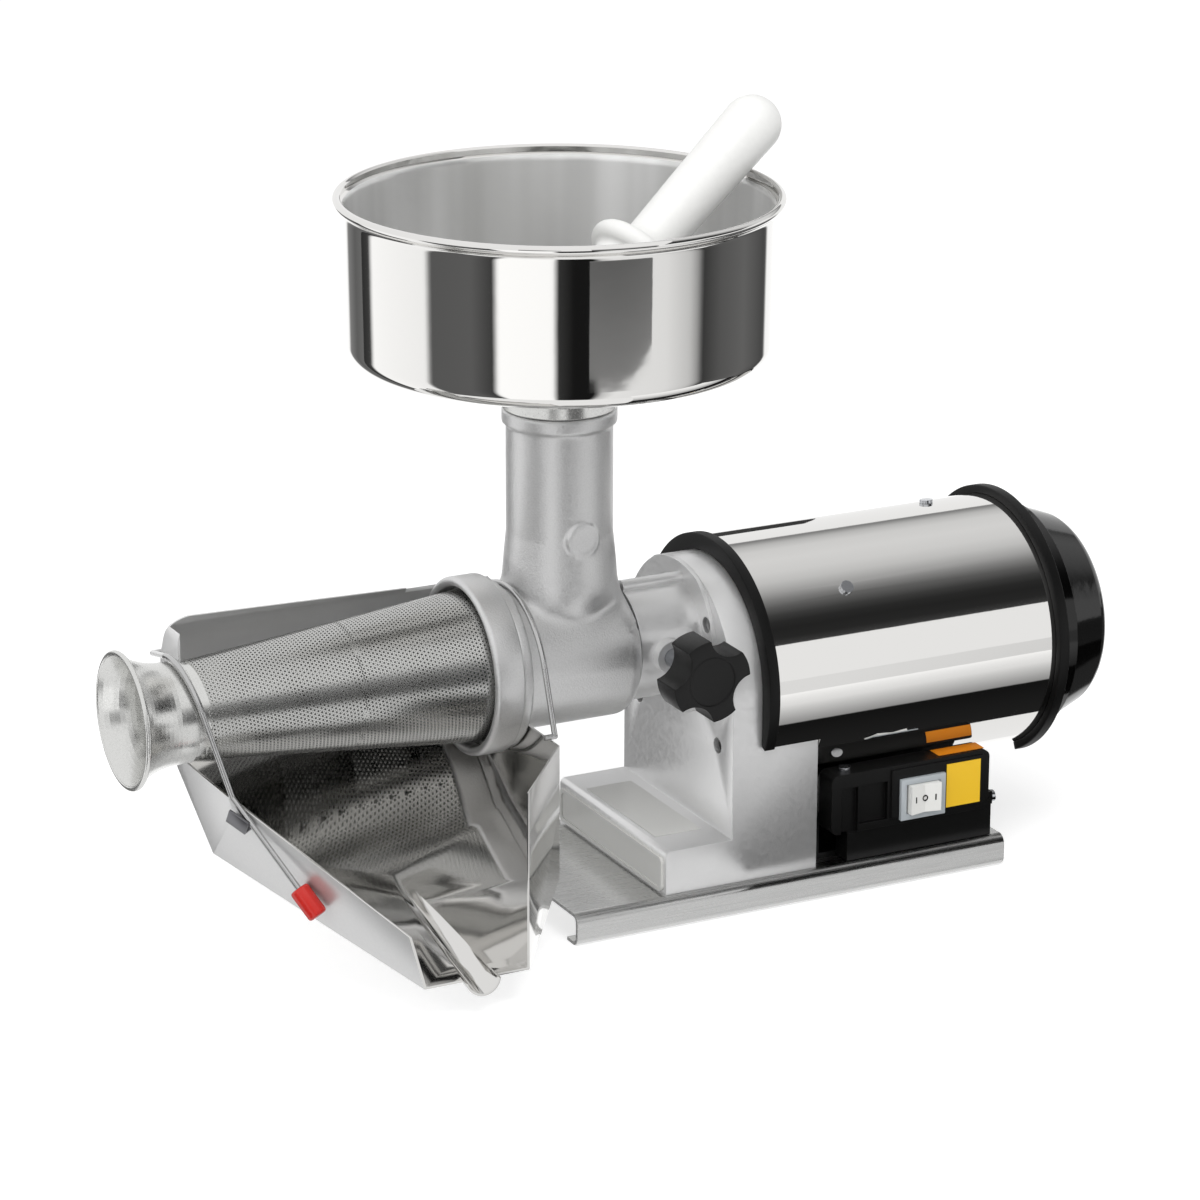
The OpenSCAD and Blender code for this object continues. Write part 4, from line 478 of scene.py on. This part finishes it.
# %% [markdown]
# ## Turned pieces
# The hopper, its seat, the pestle and the cone's two bands are pieces of revolution. A Screw modifier
# would turn an outline too, but only about one of the object's own axes, and the pestle's axis leans.
# So one function sets each point by a rule, in small, even steps that a mirror finish doesn't show.

# %% A helper for turned pieces


def link(name, mesh, sharp=30.0):
    """Puts a mesh in the scene, smooth but for its sharp edges."""
    item = bpy.data.objects.new(name, mesh)
    bpy.context.collection.objects.link(item)
    mesh.shade_smooth()
    mesh.set_sharp_from_angle(angle=math.radians(sharp))
    return item


def arc(x, y, r, start, end, steps=8):
    """Points on an arc, its angles in degrees."""
    turn = [math.radians(start + (end - start) * i / steps) for i in range(steps + 1)]
    return [(x + r * math.cos(a), y + r * math.sin(a)) for a in turn]


def turned(name, outline, place, steps=180, sharp=30.0):
    """Turns a closed outline of (along, radius) points; place puts (along, side, up) points."""
    ring = [(math.cos(2 * math.pi * k / steps), math.sin(2 * math.pi * k / steps)) for k in range(steps)]
    verts = [place(a, r * s, r * c) for a, r in outline for c, s in ring]
    count, faces = len(outline), []
    for i in range(count):
        j = (i + 1) % count
        for k in range(steps):
            m = (k + 1) % steps
            faces.append((i * steps + k, i * steps + m, j * steps + m, j * steps + k))
    mesh = bpy.data.meshes.new(name)
    mesh.from_pydata(verts, [], faces)
    tidy(mesh)
    return link(name, mesh, sharp)


def tidy(mesh):
    """Merges doubled points, closes poles and turns every face outwards."""
    bm = bmesh.new()
    bm.from_mesh(mesh)
    bmesh.ops.remove_doubles(bm, verts=bm.verts, dist=1e-6)
    bmesh.ops.dissolve_degenerate(bm, edges=bm.edges, dist=1e-7)
    bmesh.ops.recalc_face_normals(bm, faces=bm.faces)
    bm.to_mesh(mesh)
    bm.free()


def on_screw_axis(a, s, u):
    """A point along the auger's axis."""
    return drawn(a, s, SCREW_Z + u)


def on_hopper_axis(a, s, u):
    """A point up the hopper's axis."""
    return drawn(u, s, a)


def dress(item, body, slot, material, *nodes):
    """Gives a finished piece its finish, its body and the nodes it stands for."""
    if not item.data.materials:
        item.data.materials.append(material)
    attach(item, body)
    if nodes:
        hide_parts(*nodes)
    print(item.name, len(item.data.polygons), "faces on", body)
    return item


# %% [markdown]
# The hopper is a spun stainless bowl. Its wall is mirror bright outside and rubbed to a satin
# inside, and its rim is rolled outwards into a bead. The sheet is drawn with both its faces, because
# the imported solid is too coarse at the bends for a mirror.

# %% The hopper
SHEET = 1.2
RIM_R, WALL_R, HOPPER_TOP = 115.0, 110.0, 383.7
BEAD_R = 2.2
# The wall bends outwards under the bead
BEND_R, BEND_DROP = 3.0, 8.2
CORNER_R, CORNER_Z = 9.0, 308.0
SPOUT_R, SPOUT_Z, SPOUT_END, SPOUT_BEND = 24.2, 284.0, 240.0, 5.0
LOW_R = WALL_R - 0.8
NEAR_BEND, WALL_EASE = 0.9, 0.01
slope = math.degrees(math.atan2(CORNER_Z - CORNER_R - SPOUT_Z, LOW_R - CORNER_R - SPOUT_R))
outer = [(SPOUT_R, SPOUT_END), (SPOUT_R, SPOUT_Z - SPOUT_BEND)]
outer += arc(SPOUT_R + SPOUT_BEND, SPOUT_Z - SPOUT_BEND, SPOUT_BEND, 180, 90 + slope, 6)
outer += arc(LOW_R - CORNER_R, CORNER_Z, CORNER_R, -90 + slope, 0, 10)
# A point close to each bend keeps the long wall's own direction, so its reflections stay upright
wall_low, wall_high = CORNER_Z + NEAR_BEND, HOPPER_TOP - BEND_DROP - NEAR_BEND
outer += [(LOW_R + WALL_EASE, wall_low), (WALL_R - WALL_EASE, wall_high)]
outer += arc(WALL_R + BEND_R, HOPPER_TOP - BEND_DROP, BEND_R, 180, 100, 6)
bead = arc(RIM_R - BEAD_R, HOPPER_TOP - BEAD_R, BEAD_R, -120, 150, 16)
inner = arc(WALL_R + BEND_R, HOPPER_TOP - BEND_DROP, BEND_R + SHEET, 110, 180, 6)
inner += [(WALL_R - SHEET - WALL_EASE, wall_high), (LOW_R - SHEET + WALL_EASE, wall_low)]
inner += arc(LOW_R - CORNER_R, CORNER_Z, CORNER_R - SHEET, 0, -90 + slope, 10)
inner += arc(SPOUT_R + SPOUT_BEND, SPOUT_Z - SPOUT_BEND, SPOUT_BEND + SHEET, 90 + slope, 180, 6)
inner += [(SPOUT_R - SHEET, SPOUT_END)]
bowl_outline = [(z, r) for r, z in outer + bead + inner]
hopper_bowl = turned("hopper_bowl", bowl_outline, on_hopper_axis, 240, 40.0)
hopper_bowl.data.materials.append(MIRROR)
hopper_bowl.data.materials.append(SATIN_STEEL_PAINTED_BANDS)
# The inside takes the rubbed finish, whose pale upright bands are painted reflections
for face in hopper_bowl.data.polygons:
    out = face.center - HOPPER_AXIS
    inside = face.normal.to_2d().dot(out.to_2d()) < 0
    floor_inside = face.normal.z > 0.5 and face.center.z < (HOPPER_TOP - 12) * MM
    below_bead = face.center.z < (HOPPER_TOP - 5) * MM
    face.material_index = 1 if (inside or floor_inside) and below_bead else 0
dress(hopper_bowl, "hopper", "mirror_steel", MIRROR)

# %% The seat under the hopper
# A short turned ring rests on the neck's lip and carries the bowl.
LIP_R, NECK_TOP = 29.9, 271.8
seat_outline = [(NECK_TOP + 0.2, SPOUT_R), (NECK_TOP + 0.2, LIP_R - 0.6), (NECK_TOP + 0.8, LIP_R),
                (SPOUT_Z - SPOUT_BEND - 1, LIP_R - 1.0), (SPOUT_Z - SPOUT_BEND, LIP_R - 2.0),
                (SPOUT_Z - SPOUT_BEND, SPOUT_R)]
hopper_seat = turned("hopper_seat", seat_outline, on_hopper_axis, 120)
dress(hopper_seat, "hopper", "mirror_steel", POLISHED, "hopper")

# %% [markdown]
# The pestle is one white polyethylene moulding: a tapered handle, a round guard that stops it short
# of the auger, and the plug that presses the tomatoes down. It leans in the bowl, so its outline is
# turned about a leaning axis instead of being turned upright and tipped afterwards.

# %% The pestle
PESTLE_AT = Vector((37.0, -12.0, 347.3))
PESTLE_SWING, PESTLE_LEAN = math.radians(15.4), math.radians(35.5)
END_R, NECK_R, GUARD_R, GUARD_T = 15.5, 13.5, 26.5, 11.0
HANDLE, HEAD_R, HEAD = 115.9, 20.0, 80.0
HEAD_ROUND, GUARD_FILLET, NECK_FILLET = 4, 3, 8
pestle_axis = Vector((math.cos(PESTLE_LEAN) * math.cos(PESTLE_SWING),
                      math.cos(PESTLE_LEAN) * math.sin(PESTLE_SWING), math.sin(PESTLE_LEAN)))
pestle_side = pestle_axis.cross(Vector((0, 0, 1))).normalized()
pestle_up = pestle_side.cross(pestle_axis)


def on_pestle_axis(a, s, u):
    """A point along the pestle's leaning axis."""
    return drawn(*(PESTLE_AT + pestle_axis * a + pestle_side * s + pestle_up * u))


half_guard = GUARD_T / 2
pestle_outline = [(0.0, -HEAD)]
pestle_outline += arc(HEAD_R - HEAD_ROUND, HEAD_ROUND - HEAD, HEAD_ROUND, -90, 0, 6)
pestle_outline += arc(HEAD_R + GUARD_FILLET, -half_guard - GUARD_FILLET, GUARD_FILLET, 180, 90, 5)
pestle_outline += arc(GUARD_R - half_guard, 0, half_guard, -90, 90, 12)
pestle_outline += arc(NECK_R + NECK_FILLET, half_guard + NECK_FILLET, NECK_FILLET, 270, 180, 8)
pestle_outline += arc(0, HANDLE - END_R, END_R, 0, 90, 12)
pestle = turned("pestle_moulding", [(z, r) for r, z in pestle_outline], on_pestle_axis, 96, 50.0)
dress(pestle, "pestle", "white_food_plastic", WHITE_FOOD, "pestle")

# %% [markdown]
# ## Softened pieces
# Moulded and cast pieces have no knife edges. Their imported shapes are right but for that, so nothing
# is drawn again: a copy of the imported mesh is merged, its flat faces are joined, and its sharp edges
# are rounded by a real radius. A Bevel modifier would do the same, but it leaves its work undone until
# the end, and this way each piece is a plain mesh at once.

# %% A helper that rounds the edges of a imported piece
DOUBLES = 2e-6


def softened(node, radius, steps=3, angle=35.0, sharp=50.0):
    """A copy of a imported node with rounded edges, as a plain mesh."""
    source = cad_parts[node]
    mesh = source.data.copy()
    mesh.transform(source.matrix_world)
    mesh.materials.clear()
    bm = bmesh.new()
    bm.from_mesh(mesh)
    bmesh.ops.remove_doubles(bm, verts=bm.verts, dist=DOUBLES)
    bmesh.ops.dissolve_limit(bm, angle_limit=math.radians(1.0), verts=bm.verts, edges=bm.edges)
    edges = [e for e in bm.edges if len(e.link_faces) == 2
             and e.calc_face_angle(0.0) > math.radians(angle)]
    if radius:
        bmesh.ops.bevel(bm, geom=edges, offset=radius * MM, segments=steps, profile=0.5,
                        affect="EDGES", clamp_overlap=True)
    bmesh.ops.triangulate(bm, faces=[f for f in bm.faces if len(f.verts) > 4])
    bmesh.ops.recalc_face_normals(bm, faces=bm.faces)
    bm.to_mesh(mesh)
    bm.free()
    mesh.name = node + "_soft"
    return link(node + "_soft", mesh, sharp)


# %% Round them
# A row holds the node, the radius in millimetres, its steps, the body, the slot and the finish.
ROUNDED = [("clamp_knob", 2.4, 4, "clamp_turn", "black_matte", BLACK_MATTE),
           ("front_edge_trim", 1.6, 3, "machine", "black_rubber", RUBBER),
           ("rear_edge_trim", 1.6, 3, "machine", "black_rubber", RUBBER),
           ("bail_cap", 1.6, 4, "front_bail", "red_cap_plastic", RED_CAP),
           ("collar", 0.9, 3, "collar", "blasted_aluminium", BLASTED),
           ("rocker_bezel", 0.5, 2, "machine", "grey_clear_plastic", CLEAR_GREY),
           ("yellow_label", 0.0, 1, "machine", "yellow_label", LABEL_YELLOW),
           ("gear_housing", 1.2, 3, "machine", "satin_aluminium", SATIN)]
for node, radius, steps, body, slot, paint in ROUNDED:
    dress(softened(node, radius, steps), body, slot, paint, node)

# %% [markdown]
# The rocker carries two bars for on and a ring for off. They could be painted by the material, but a
# mark a millimetre wide needs a crisp edge, so they are thin blocks and a ring set in the face.

# %% The rocker's marks
# The rocker's face is two slopes that meet at its middle.
ROCKER_X, ROCKER_Z = 183.2, 49.0
ROCKER_MIDDLE, ROCKER_FALL = 69.05, 0.2165
BAR_AT, BAR_SIZES = 6.0, Vector((0.8, 0.12, 3.4))
RING_IN, RING_OUT, RING_BACK, RING_FRONT = 1.1, 1.7, 69.0, 69.5


def bar(name, place):
    """A thin block in millimetres, set in place by a matrix."""
    mesh = bpy.data.meshes.new(name)
    bm = bmesh.new()
    bmesh.ops.create_cube(bm, size=1.0, matrix=place @ Matrix.Diagonal(BAR_SIZES * MM).to_4x4())
    bm.to_mesh(mesh)
    bm.free()
    return link(name, mesh)


for side, at in (("left", -BAR_AT), ("right", BAR_AT)):
    middle = drawn(ROCKER_X + at, -ROCKER_MIDDLE - abs(at) * ROCKER_FALL, ROCKER_Z)
    slant = Matrix.Rotation(math.copysign(math.atan(ROCKER_FALL), -at), 4, "Z")
    mark = bar("rocker_mark_" + side, Matrix.Translation(middle) @ slant)
    dress(mark, "switch_rocker", "black_matte", BLACK_MATTE)


def on_rocker(a, s, u):
    """A point on the rocker's middle, out towards the viewer."""
    return drawn(ROCKER_X + s, -a, ROCKER_Z + u)


ring_outline = [(RING_BACK, RING_IN), (RING_FRONT, RING_IN), (RING_FRONT, RING_OUT), (RING_BACK, RING_OUT)]
ring = turned("rocker_mark_off", ring_outline, on_rocker, 32)
dress(ring, "switch_rocker", "black_matte", BLACK_MATTE)

# %% [markdown]
# The strainer body is one casting. Where its neck meets its barrel the metal flows in a wide, soft
# fillet. A bevel can't round a joint between two curved skins that wide, so the piece is meshed afresh
# in small even cells, and each point near the joint is moved towards its neighbours many times.

# %% The cast strainer body, meshed afresh
CELL = 1.05
cast = softened("strainer_body", 0.0)
remesh = cast.modifiers.new("even_skin", "REMESH")
remesh.mode = "VOXEL"
remesh.voxel_size = CELL * MM
bpy.context.view_layer.update()
skin = bpy.data.meshes.new_from_object(cast.evaluated_get(bpy.context.evaluated_depsgraph_get()))
cast.modifiers.remove(remesh)
cast.data = skin
count = len(skin.vertices)
spots = np.empty(count * 3)
skin.vertices.foreach_get("co", spots)
spots = spots.reshape(-1, 3)
links = np.empty(len(skin.edges) * 2, dtype=int)
skin.edges.foreach_get("vertices", links)
links = links.reshape(-1, 2)
print("points:", count)

# %% How much each point gives way
# Full weight on the joint's curve, fading with distance from it. Every point also gives way in the
# first two passes, which takes out the steps that even cells leave.
CAST_NECK_R, CAST_BARREL_R = 28.8, 37.5
FILLET_REACH, FILLET_FADE = 15.0, 8.0
EVEN_OUT, EVEN_PASSES = 0.25, 2
local = spots / MM - np.array(SHIFT)
from_neck = np.abs(np.hypot(local[:, 0], local[:, 1]) - CAST_NECK_R)
from_barrel = np.abs(np.hypot(local[:, 1], local[:, 2] - SCREW_Z) - CAST_BARREL_R)
off_joint = np.hypot(from_neck, from_barrel)
weight = np.clip((FILLET_REACH - off_joint) / FILLET_FADE, 0, 1) * (local[:, 2] > SCREW_Z)
weight = np.where(weight < EVEN_OUT, weight + EVEN_OUT, weight)[:, None]
print("points on the joint:", int((weight > EVEN_OUT + 0.01).sum()))

# %% Let the skin settle
PASSES, PACE = 90, 0.6
degree = np.bincount(links.ravel(), minlength=count)[:, None]
for turn in range(PASSES):
    if turn == EVEN_PASSES:
        weight = np.where(weight > EVEN_OUT + 0.01, weight, 0.0)
    total = np.zeros_like(spots)
    np.add.at(total, links[:, 0], spots[links[:, 1]])
    np.add.at(total, links[:, 1], spots[links[:, 0]])
    spots += weight * PACE * (total / degree - spots)
skin.vertices.foreach_set("co", spots.ravel())
skin.update()
skin.shade_smooth()
skin.set_sharp_from_angle(angle=math.radians(60))
cast.name = "strainer_casting"
dress(cast, "machine", "blasted_aluminium", BLASTED, "strainer_body")

# %% [markdown]
# The juice tray is bent from polished sheet. Its inside mirrors the cone, its outside is rubbed to a
# soft sheen, and its far wall is painted pale, as painted light for the bright room it mirrors. One piece
# of sheet has one mesh, so the finish is chosen face by face, from where the face lies and which way it
# looks.

# %% The juice tray
# The leaning panel's outer face is a plane, and the hook stands off it.
PANEL_OUT = Vector((-0.870, -0.430, -0.241))
PANEL_SPOT = Vector((-191.8, -36.4, 62.7))
TRAY_FINISHES = [BENT_MIRROR, RUBBED_SHEET, FAR_WALL_PAINTED_LIGHT, HOOK_SHEET]
tray = softened("juice_tray", 0.35, 2)
for paint in TRAY_FINISHES:
    tray.data.materials.append(paint)
for face in tray.data.polygons:
    at = face.center / MM - SHIFT
    under = face.normal.z < -0.3 and at.z < 60
    paint = BENT_MIRROR
    if face.normal.dot(PANEL_OUT) > 0.75 and at.x < -130 or under:
        paint = RUBBED_SHEET
    # The far wall takes the pale finish, painted light for the bright room it mirrors
    if at.y > 18 and at.z > 128:
        paint = FAR_WALL_PAINTED_LIGHT
    if (at - PANEL_SPOT).dot(PANEL_OUT) > 0.8 and at.x < -190 and at.z > 80:
        paint = HOOK_SHEET
    face.material_index = TRAY_FINISHES.index(paint)
dress(tray, "machine", "mirror_steel", BENT_MIRROR, "juice_tray")

# %% [markdown]
# ## The perforated cone
# The strainer is a flat sheet, punched with thousands of small holes, cut as a fan and rolled into
# a cone. A node tree does the same: one six-sided cell with a hole is set on every point of a
# staggered grid, the points outside the fan are dropped, and the flat sheet is rolled by turning
# its polar angle into the cone's angle. Real holes are about 1 mm wide and 2 mm apart, and these
# are drawn at nearly that size. The sheet is cut in two along its length, to keep each mesh small.
# Holes could be cut with a Boolean, but thousands of cuts are slow and leave poor faces.

# %% The rolled sheet's measures
CONE_START, CONE_END = 50.0, 212.0
CONE_BIG_R, CONE_SMALL_R, CONE_SHEET = 39.2, 23.8, 1.0
taper = (CONE_BIG_R - CONE_SMALL_R) / (CONE_END - CONE_START)
half_angle = math.atan(taper)
slant_far = CONE_BIG_R / math.sin(half_angle)
slant_near = CONE_SMALL_R / math.sin(half_angle)
apex_x = CONE_START + CONE_BIG_R / taper
HOLE_PITCH, HOLE_R = 2.15, 0.62
print("cone half angle", round(math.degrees(half_angle), 2), "fan", round(slant_near), round(slant_far))

# %% One punched cell


def hex_cell(pitch, hole):
    """A flat six-sided cell with a six-sided hole, both with a point along Y."""
    outer_r = pitch / math.sqrt(3)
    turn = [math.radians(30 + 60 * k) for k in range(6)]
    verts = [(outer_r * math.cos(a) * MM, outer_r * math.sin(a) * MM, 0) for a in turn]
    verts += [(hole * math.cos(a) * MM, hole * math.sin(a) * MM, 0) for a in turn]
    faces = [(k, (k + 1) % 6, 6 + (k + 1) % 6, 6 + k) for k in range(6)]
    mesh = bpy.data.meshes.new("punched_cell")
    mesh.from_pydata(verts, [], faces)
    return bpy.data.objects.new("punched_cell", mesh)


cell = hex_cell(HOLE_PITCH, HOLE_R)

# %% The tree that punches and rolls
# Points of neighbouring cells that lie within this share of the pitch are the same point.
NEAR_CORNERS, MERGE_SHARE = 0.9, 0.03


def punch_and_roll():
    """A tree that punches a flat fan of sheet and rolls it into a cone about X, and its inputs."""
    tree = bpy.data.node_groups.new("punch_and_roll", "GeometryNodeTree")
    face = tree.interface
    face.new_socket("Geometry", in_out="INPUT", socket_type="NodeSocketGeometry")
    ids = {}
    for name, kind in (("Pitch", "NodeSocketFloat"), ("Slant From", "NodeSocketFloat"),
                       ("Slant To", "NodeSocketFloat"), ("Half Angle", "NodeSocketFloat"),
                       ("Sheet", "NodeSocketFloat"), ("Cell", "NodeSocketObject"),
                       ("Finish", "NodeSocketMaterial")):
        ids[name] = face.new_socket(name, in_out="INPUT", socket_type=kind).identifier
    face.new_socket("Geometry", in_out="OUTPUT", socket_type="NodeSocketGeometry")
    given = add(tree, "NodeGroupInput").outputs

    # The fan's half width is an angle, and the grid's rows must reach across its far edge
    sine = add(tree, MATHS, {0: given["Half Angle"]}, operation="SINE")
    half_fan = add(tree, MATHS, {0: sine, 1: math.pi}, operation="MULTIPLY")
    reach = add(tree, MATHS, {0: half_fan, 1: given["Slant To"]}, operation="MULTIPLY")
    width = add(tree, MATHS, {0: reach, 1: 2.0}, operation="MULTIPLY")
    rows_wide = add(tree, MATHS, {0: width, 1: given["Pitch"]}, operation="DIVIDE")
    rows = add(tree, MATHS, {0: rows_wide}, operation="CEIL")

    # The near corners lie back by the cosine of the fan's half width, which is under a tenth
    start = add(tree, MATHS, {0: given["Slant From"], 1: NEAR_CORNERS}, operation="MULTIPLY")
    step_x = add(tree, MATHS, {0: given["Pitch"], 1: math.sqrt(0.75)}, operation="MULTIPLY")
    length = add(tree, MATHS, {0: given["Slant To"], 1: start}, operation="SUBTRACT")
    columns_long = add(tree, MATHS, {0: length, 1: step_x}, operation="DIVIDE")
    columns = add(tree, MATHS, {0: columns_long}, operation="CEIL")
    gaps_x = add(tree, MATHS, {0: columns, 1: 1.0}, operation="SUBTRACT")
    gaps_y = add(tree, MATHS, {0: rows, 1: 1.0}, operation="SUBTRACT")
    size_x = add(tree, MATHS, {0: step_x, 1: gaps_x}, operation="MULTIPLY")
    size_y = add(tree, MATHS, {0: given["Pitch"], 1: gaps_y}, operation="MULTIPLY")
    grid = add(tree, "GeometryNodeMeshGrid", {"Size X": size_x, "Size Y": size_y,
                                              "Vertices X": columns, "Vertices Y": rows})

    # Every second column is moved half a pitch aside, and the whole grid out along X
    counted = add(tree, MATHS, {0: add(tree, "GeometryNodeInputIndex"), 1: 0.5}, operation="ADD")
    in_columns = add(tree, MATHS, {0: counted, 1: rows}, operation="DIVIDE")
    column = add(tree, MATHS, {0: in_columns}, operation="FLOOR")
    odd = add(tree, MATHS, {0: column, 1: 2.0}, operation="MODULO")
    half_odd = add(tree, MATHS, {0: odd, 1: 0.5}, operation="MULTIPLY")
    aside = add(tree, MATHS, {0: half_odd, 1: given["Pitch"]}, operation="MULTIPLY")
    half_length = add(tree, MATHS, {0: size_x, 1: 0.5}, operation="MULTIPLY")
    middle = add(tree, MATHS, {0: start, 1: half_length}, operation="ADD")
    move = add(tree, "ShaderNodeCombineXYZ", {"X": middle, "Y": aside})
    laid = add(tree, "GeometryNodeSetPosition", {"Geometry": grid, "Offset": move})

    # Each point's polar place in the fan
    spot = add(tree, "ShaderNodeSeparateXYZ", {0: add(tree, "GeometryNodeInputPosition")}).outputs
    squares = [add(tree, MATHS, {0: spot[i], 1: 2.0}, operation="POWER") for i in range(2)]
    square = add(tree, MATHS, {0: squares[0], 1: squares[1]}, operation="ADD")
    slant = add(tree, MATHS, {0: square}, operation="SQRT")
    angle = add(tree, MATHS, {0: spot[1], 1: spot[0]}, operation="ARCTAN2")

    # Points outside the fan are dropped, and the rest get a cell
    too_near = add(tree, MATHS, {0: slant, 1: given["Slant From"]}, operation="LESS_THAN")
    too_far = add(tree, MATHS, {0: slant, 1: given["Slant To"]}, operation="GREATER_THAN")
    off_middle = add(tree, MATHS, {0: angle}, operation="ABSOLUTE")
    too_wide = add(tree, MATHS, {0: off_middle, 1: half_fan}, operation="GREATER_THAN")
    off_length = add(tree, MATHS, {0: too_near, 1: too_far}, operation="MAXIMUM")
    outside = add(tree, MATHS, {0: off_length, 1: too_wide}, operation="MAXIMUM")
    kept = add(tree, "GeometryNodeDeleteGeometry", {"Geometry": laid, "Selection": outside},
               domain="POINT")
    source = add(tree, "GeometryNodeObjectInfo", {"Object": given["Cell"]}).outputs["Geometry"]
    cells = add(tree, "GeometryNodeInstanceOnPoints", {"Points": kept, "Instance": source})
    sheet = add(tree, "GeometryNodeRealizeInstances", {"Geometry": cells})
    nearby = add(tree, MATHS, {0: given["Pitch"], 1: MERGE_SHARE}, operation="MULTIPLY")
    whole = add(tree, "GeometryNodeMergeByDistance", {"Geometry": sheet, "Distance": nearby})

    # The flat sheet is rolled: the fan's angle becomes the cone's turn
    turn = add(tree, MATHS, {0: angle, 1: sine}, operation="DIVIDE")
    turn_sine = add(tree, MATHS, {0: turn}, operation="SINE")
    turn_cosine = add(tree, MATHS, {0: turn}, operation="COSINE")
    cosine = add(tree, MATHS, {0: given["Half Angle"]}, operation="COSINE")
    radius = add(tree, MATHS, {0: slant, 1: sine}, operation="MULTIPLY")
    rolled = add(tree, "ShaderNodeCombineXYZ", {
        "X": add(tree, MATHS, {0: slant, 1: cosine}, operation="MULTIPLY"),
        "Y": add(tree, MATHS, {0: radius, 1: turn_sine}, operation="MULTIPLY"),
        "Z": add(tree, MATHS, {0: radius, 1: turn_cosine}, operation="MULTIPLY")})
    cone = add(tree, "GeometryNodeSetPosition", {"Geometry": whole, "Position": rolled})

    # A skin and its flipped back make a closed sheet
    skin = add(tree, "GeometryNodeExtrudeMesh", {"Mesh": cone, "Offset Scale": given["Sheet"],
                                                 "Individual": False})
    back = add(tree, "GeometryNodeFlipFaces", {"Mesh": cone})
    both = add(tree, "GeometryNodeJoinGeometry")
    for part in (skin, back):
        tree.links.new(part.outputs[0], both.inputs[0])
    closed = add(tree, "GeometryNodeMergeByDistance", {"Geometry": both, "Distance": 1e-6})
    real = add(tree, "GeometryNodeRealizeInstances", {"Geometry": closed})
    finished = add(tree, "GeometryNodeSetMaterial", {"Geometry": real, "Material": given["Finish"]})
    add(tree, "NodeGroupOutput", {"Geometry": finished})
    print("nodes in the tree:", len(tree.nodes))
    return tree, ids


roll_tree, roll_ids = punch_and_roll()

# %% A helper that turns a node tree's result into a plain mesh


def grown(name, tree, ids, inputs):
    """Runs a node tree once and keeps its result as a plain mesh."""
    seed = bpy.data.objects.new(name, bpy.data.meshes.new(name + "_seed"))
    bpy.context.collection.objects.link(seed)
    modifier = seed.modifiers.new("nodes", "NODES")
    modifier.node_group = tree
    for key, given in inputs.items():
        modifier[ids[key]] = given
    bpy.context.view_layer.update()
    result = bpy.data.meshes.new_from_object(seed.evaluated_get(bpy.context.evaluated_depsgraph_get()))
    seed.modifiers.remove(modifier)
    seed.data = result
    result.name = name
    return seed


# %% Roll the two halves
# Plain bands are left at both ends, and the halves meet a little behind the middle.
TIP_BAND, BACK_BAND, PAST_MIDDLE = 6.0, 1.0, 6.0
cuts = [slant_near + TIP_BAND, (slant_near + slant_far) / 2 + PAST_MIDDLE, slant_far - BACK_BAND]
for part, (low, high) in zip(("front", "rear"), zip(cuts, cuts[1:])):
    half = grown("cone_sheet_" + part, roll_tree, roll_ids, {
        "Pitch": HOLE_PITCH * MM, "Slant From": low * MM, "Slant To": high * MM,
        "Half Angle": half_angle, "Sheet": CONE_SHEET * MM, "Cell": cell, "Finish": PERFORATED})
    half.data.transform(Matrix.Translation(drawn(-apex_x, 0, SCREW_Z)))
    half.data.shade_smooth()
    half.data.set_sharp_from_angle(angle=math.radians(40))
    print(part, "half, points:", len(half.data.vertices))
    dress(half, "machine", "perforated_steel", PERFORATED)

# %% The cone's flange and its plain tip band
FLANGE_R, FLANGE_T, FLANGE_LIP, FLANGE_SHEET = 44.2, 2, 3, 1.2
TIP_PROUD, TIP_SHEET = 0.15, 1.1


def cone_r(x):
    """The cone's outer radius at a distance from the neck's axis."""
    return CONE_BIG_R - (x - CONE_START) * taper


lip_end = CONE_START + FLANGE_LIP
flange = [(FLANGE_T - CONE_START, FLANGE_R), (-CONE_START, FLANGE_R), (-CONE_START, CONE_BIG_R),
          (-lip_end, cone_r(lip_end)), (-lip_end, cone_r(lip_end) - FLANGE_SHEET),
          (FLANGE_T - CONE_START, CONE_BIG_R - FLANGE_SHEET)]
tip_start = CONE_END - TIP_BAND - 1
tip = [(-tip_start, cone_r(tip_start) + TIP_PROUD), (-CONE_END, CONE_SMALL_R + TIP_PROUD),
       (-CONE_END, CONE_SMALL_R - TIP_SHEET), (-tip_start, cone_r(tip_start) - TIP_SHEET)]
cone_flange = turned("cone_flange", flange, on_screw_axis, 144)
dress(cone_flange, "machine", "perforated_steel", POLISHED)
cone_tip = turned("cone_tip_band", tip, on_screw_axis, 144)
dress(cone_tip, "machine", "perforated_steel", POLISHED, "strainer_cone")
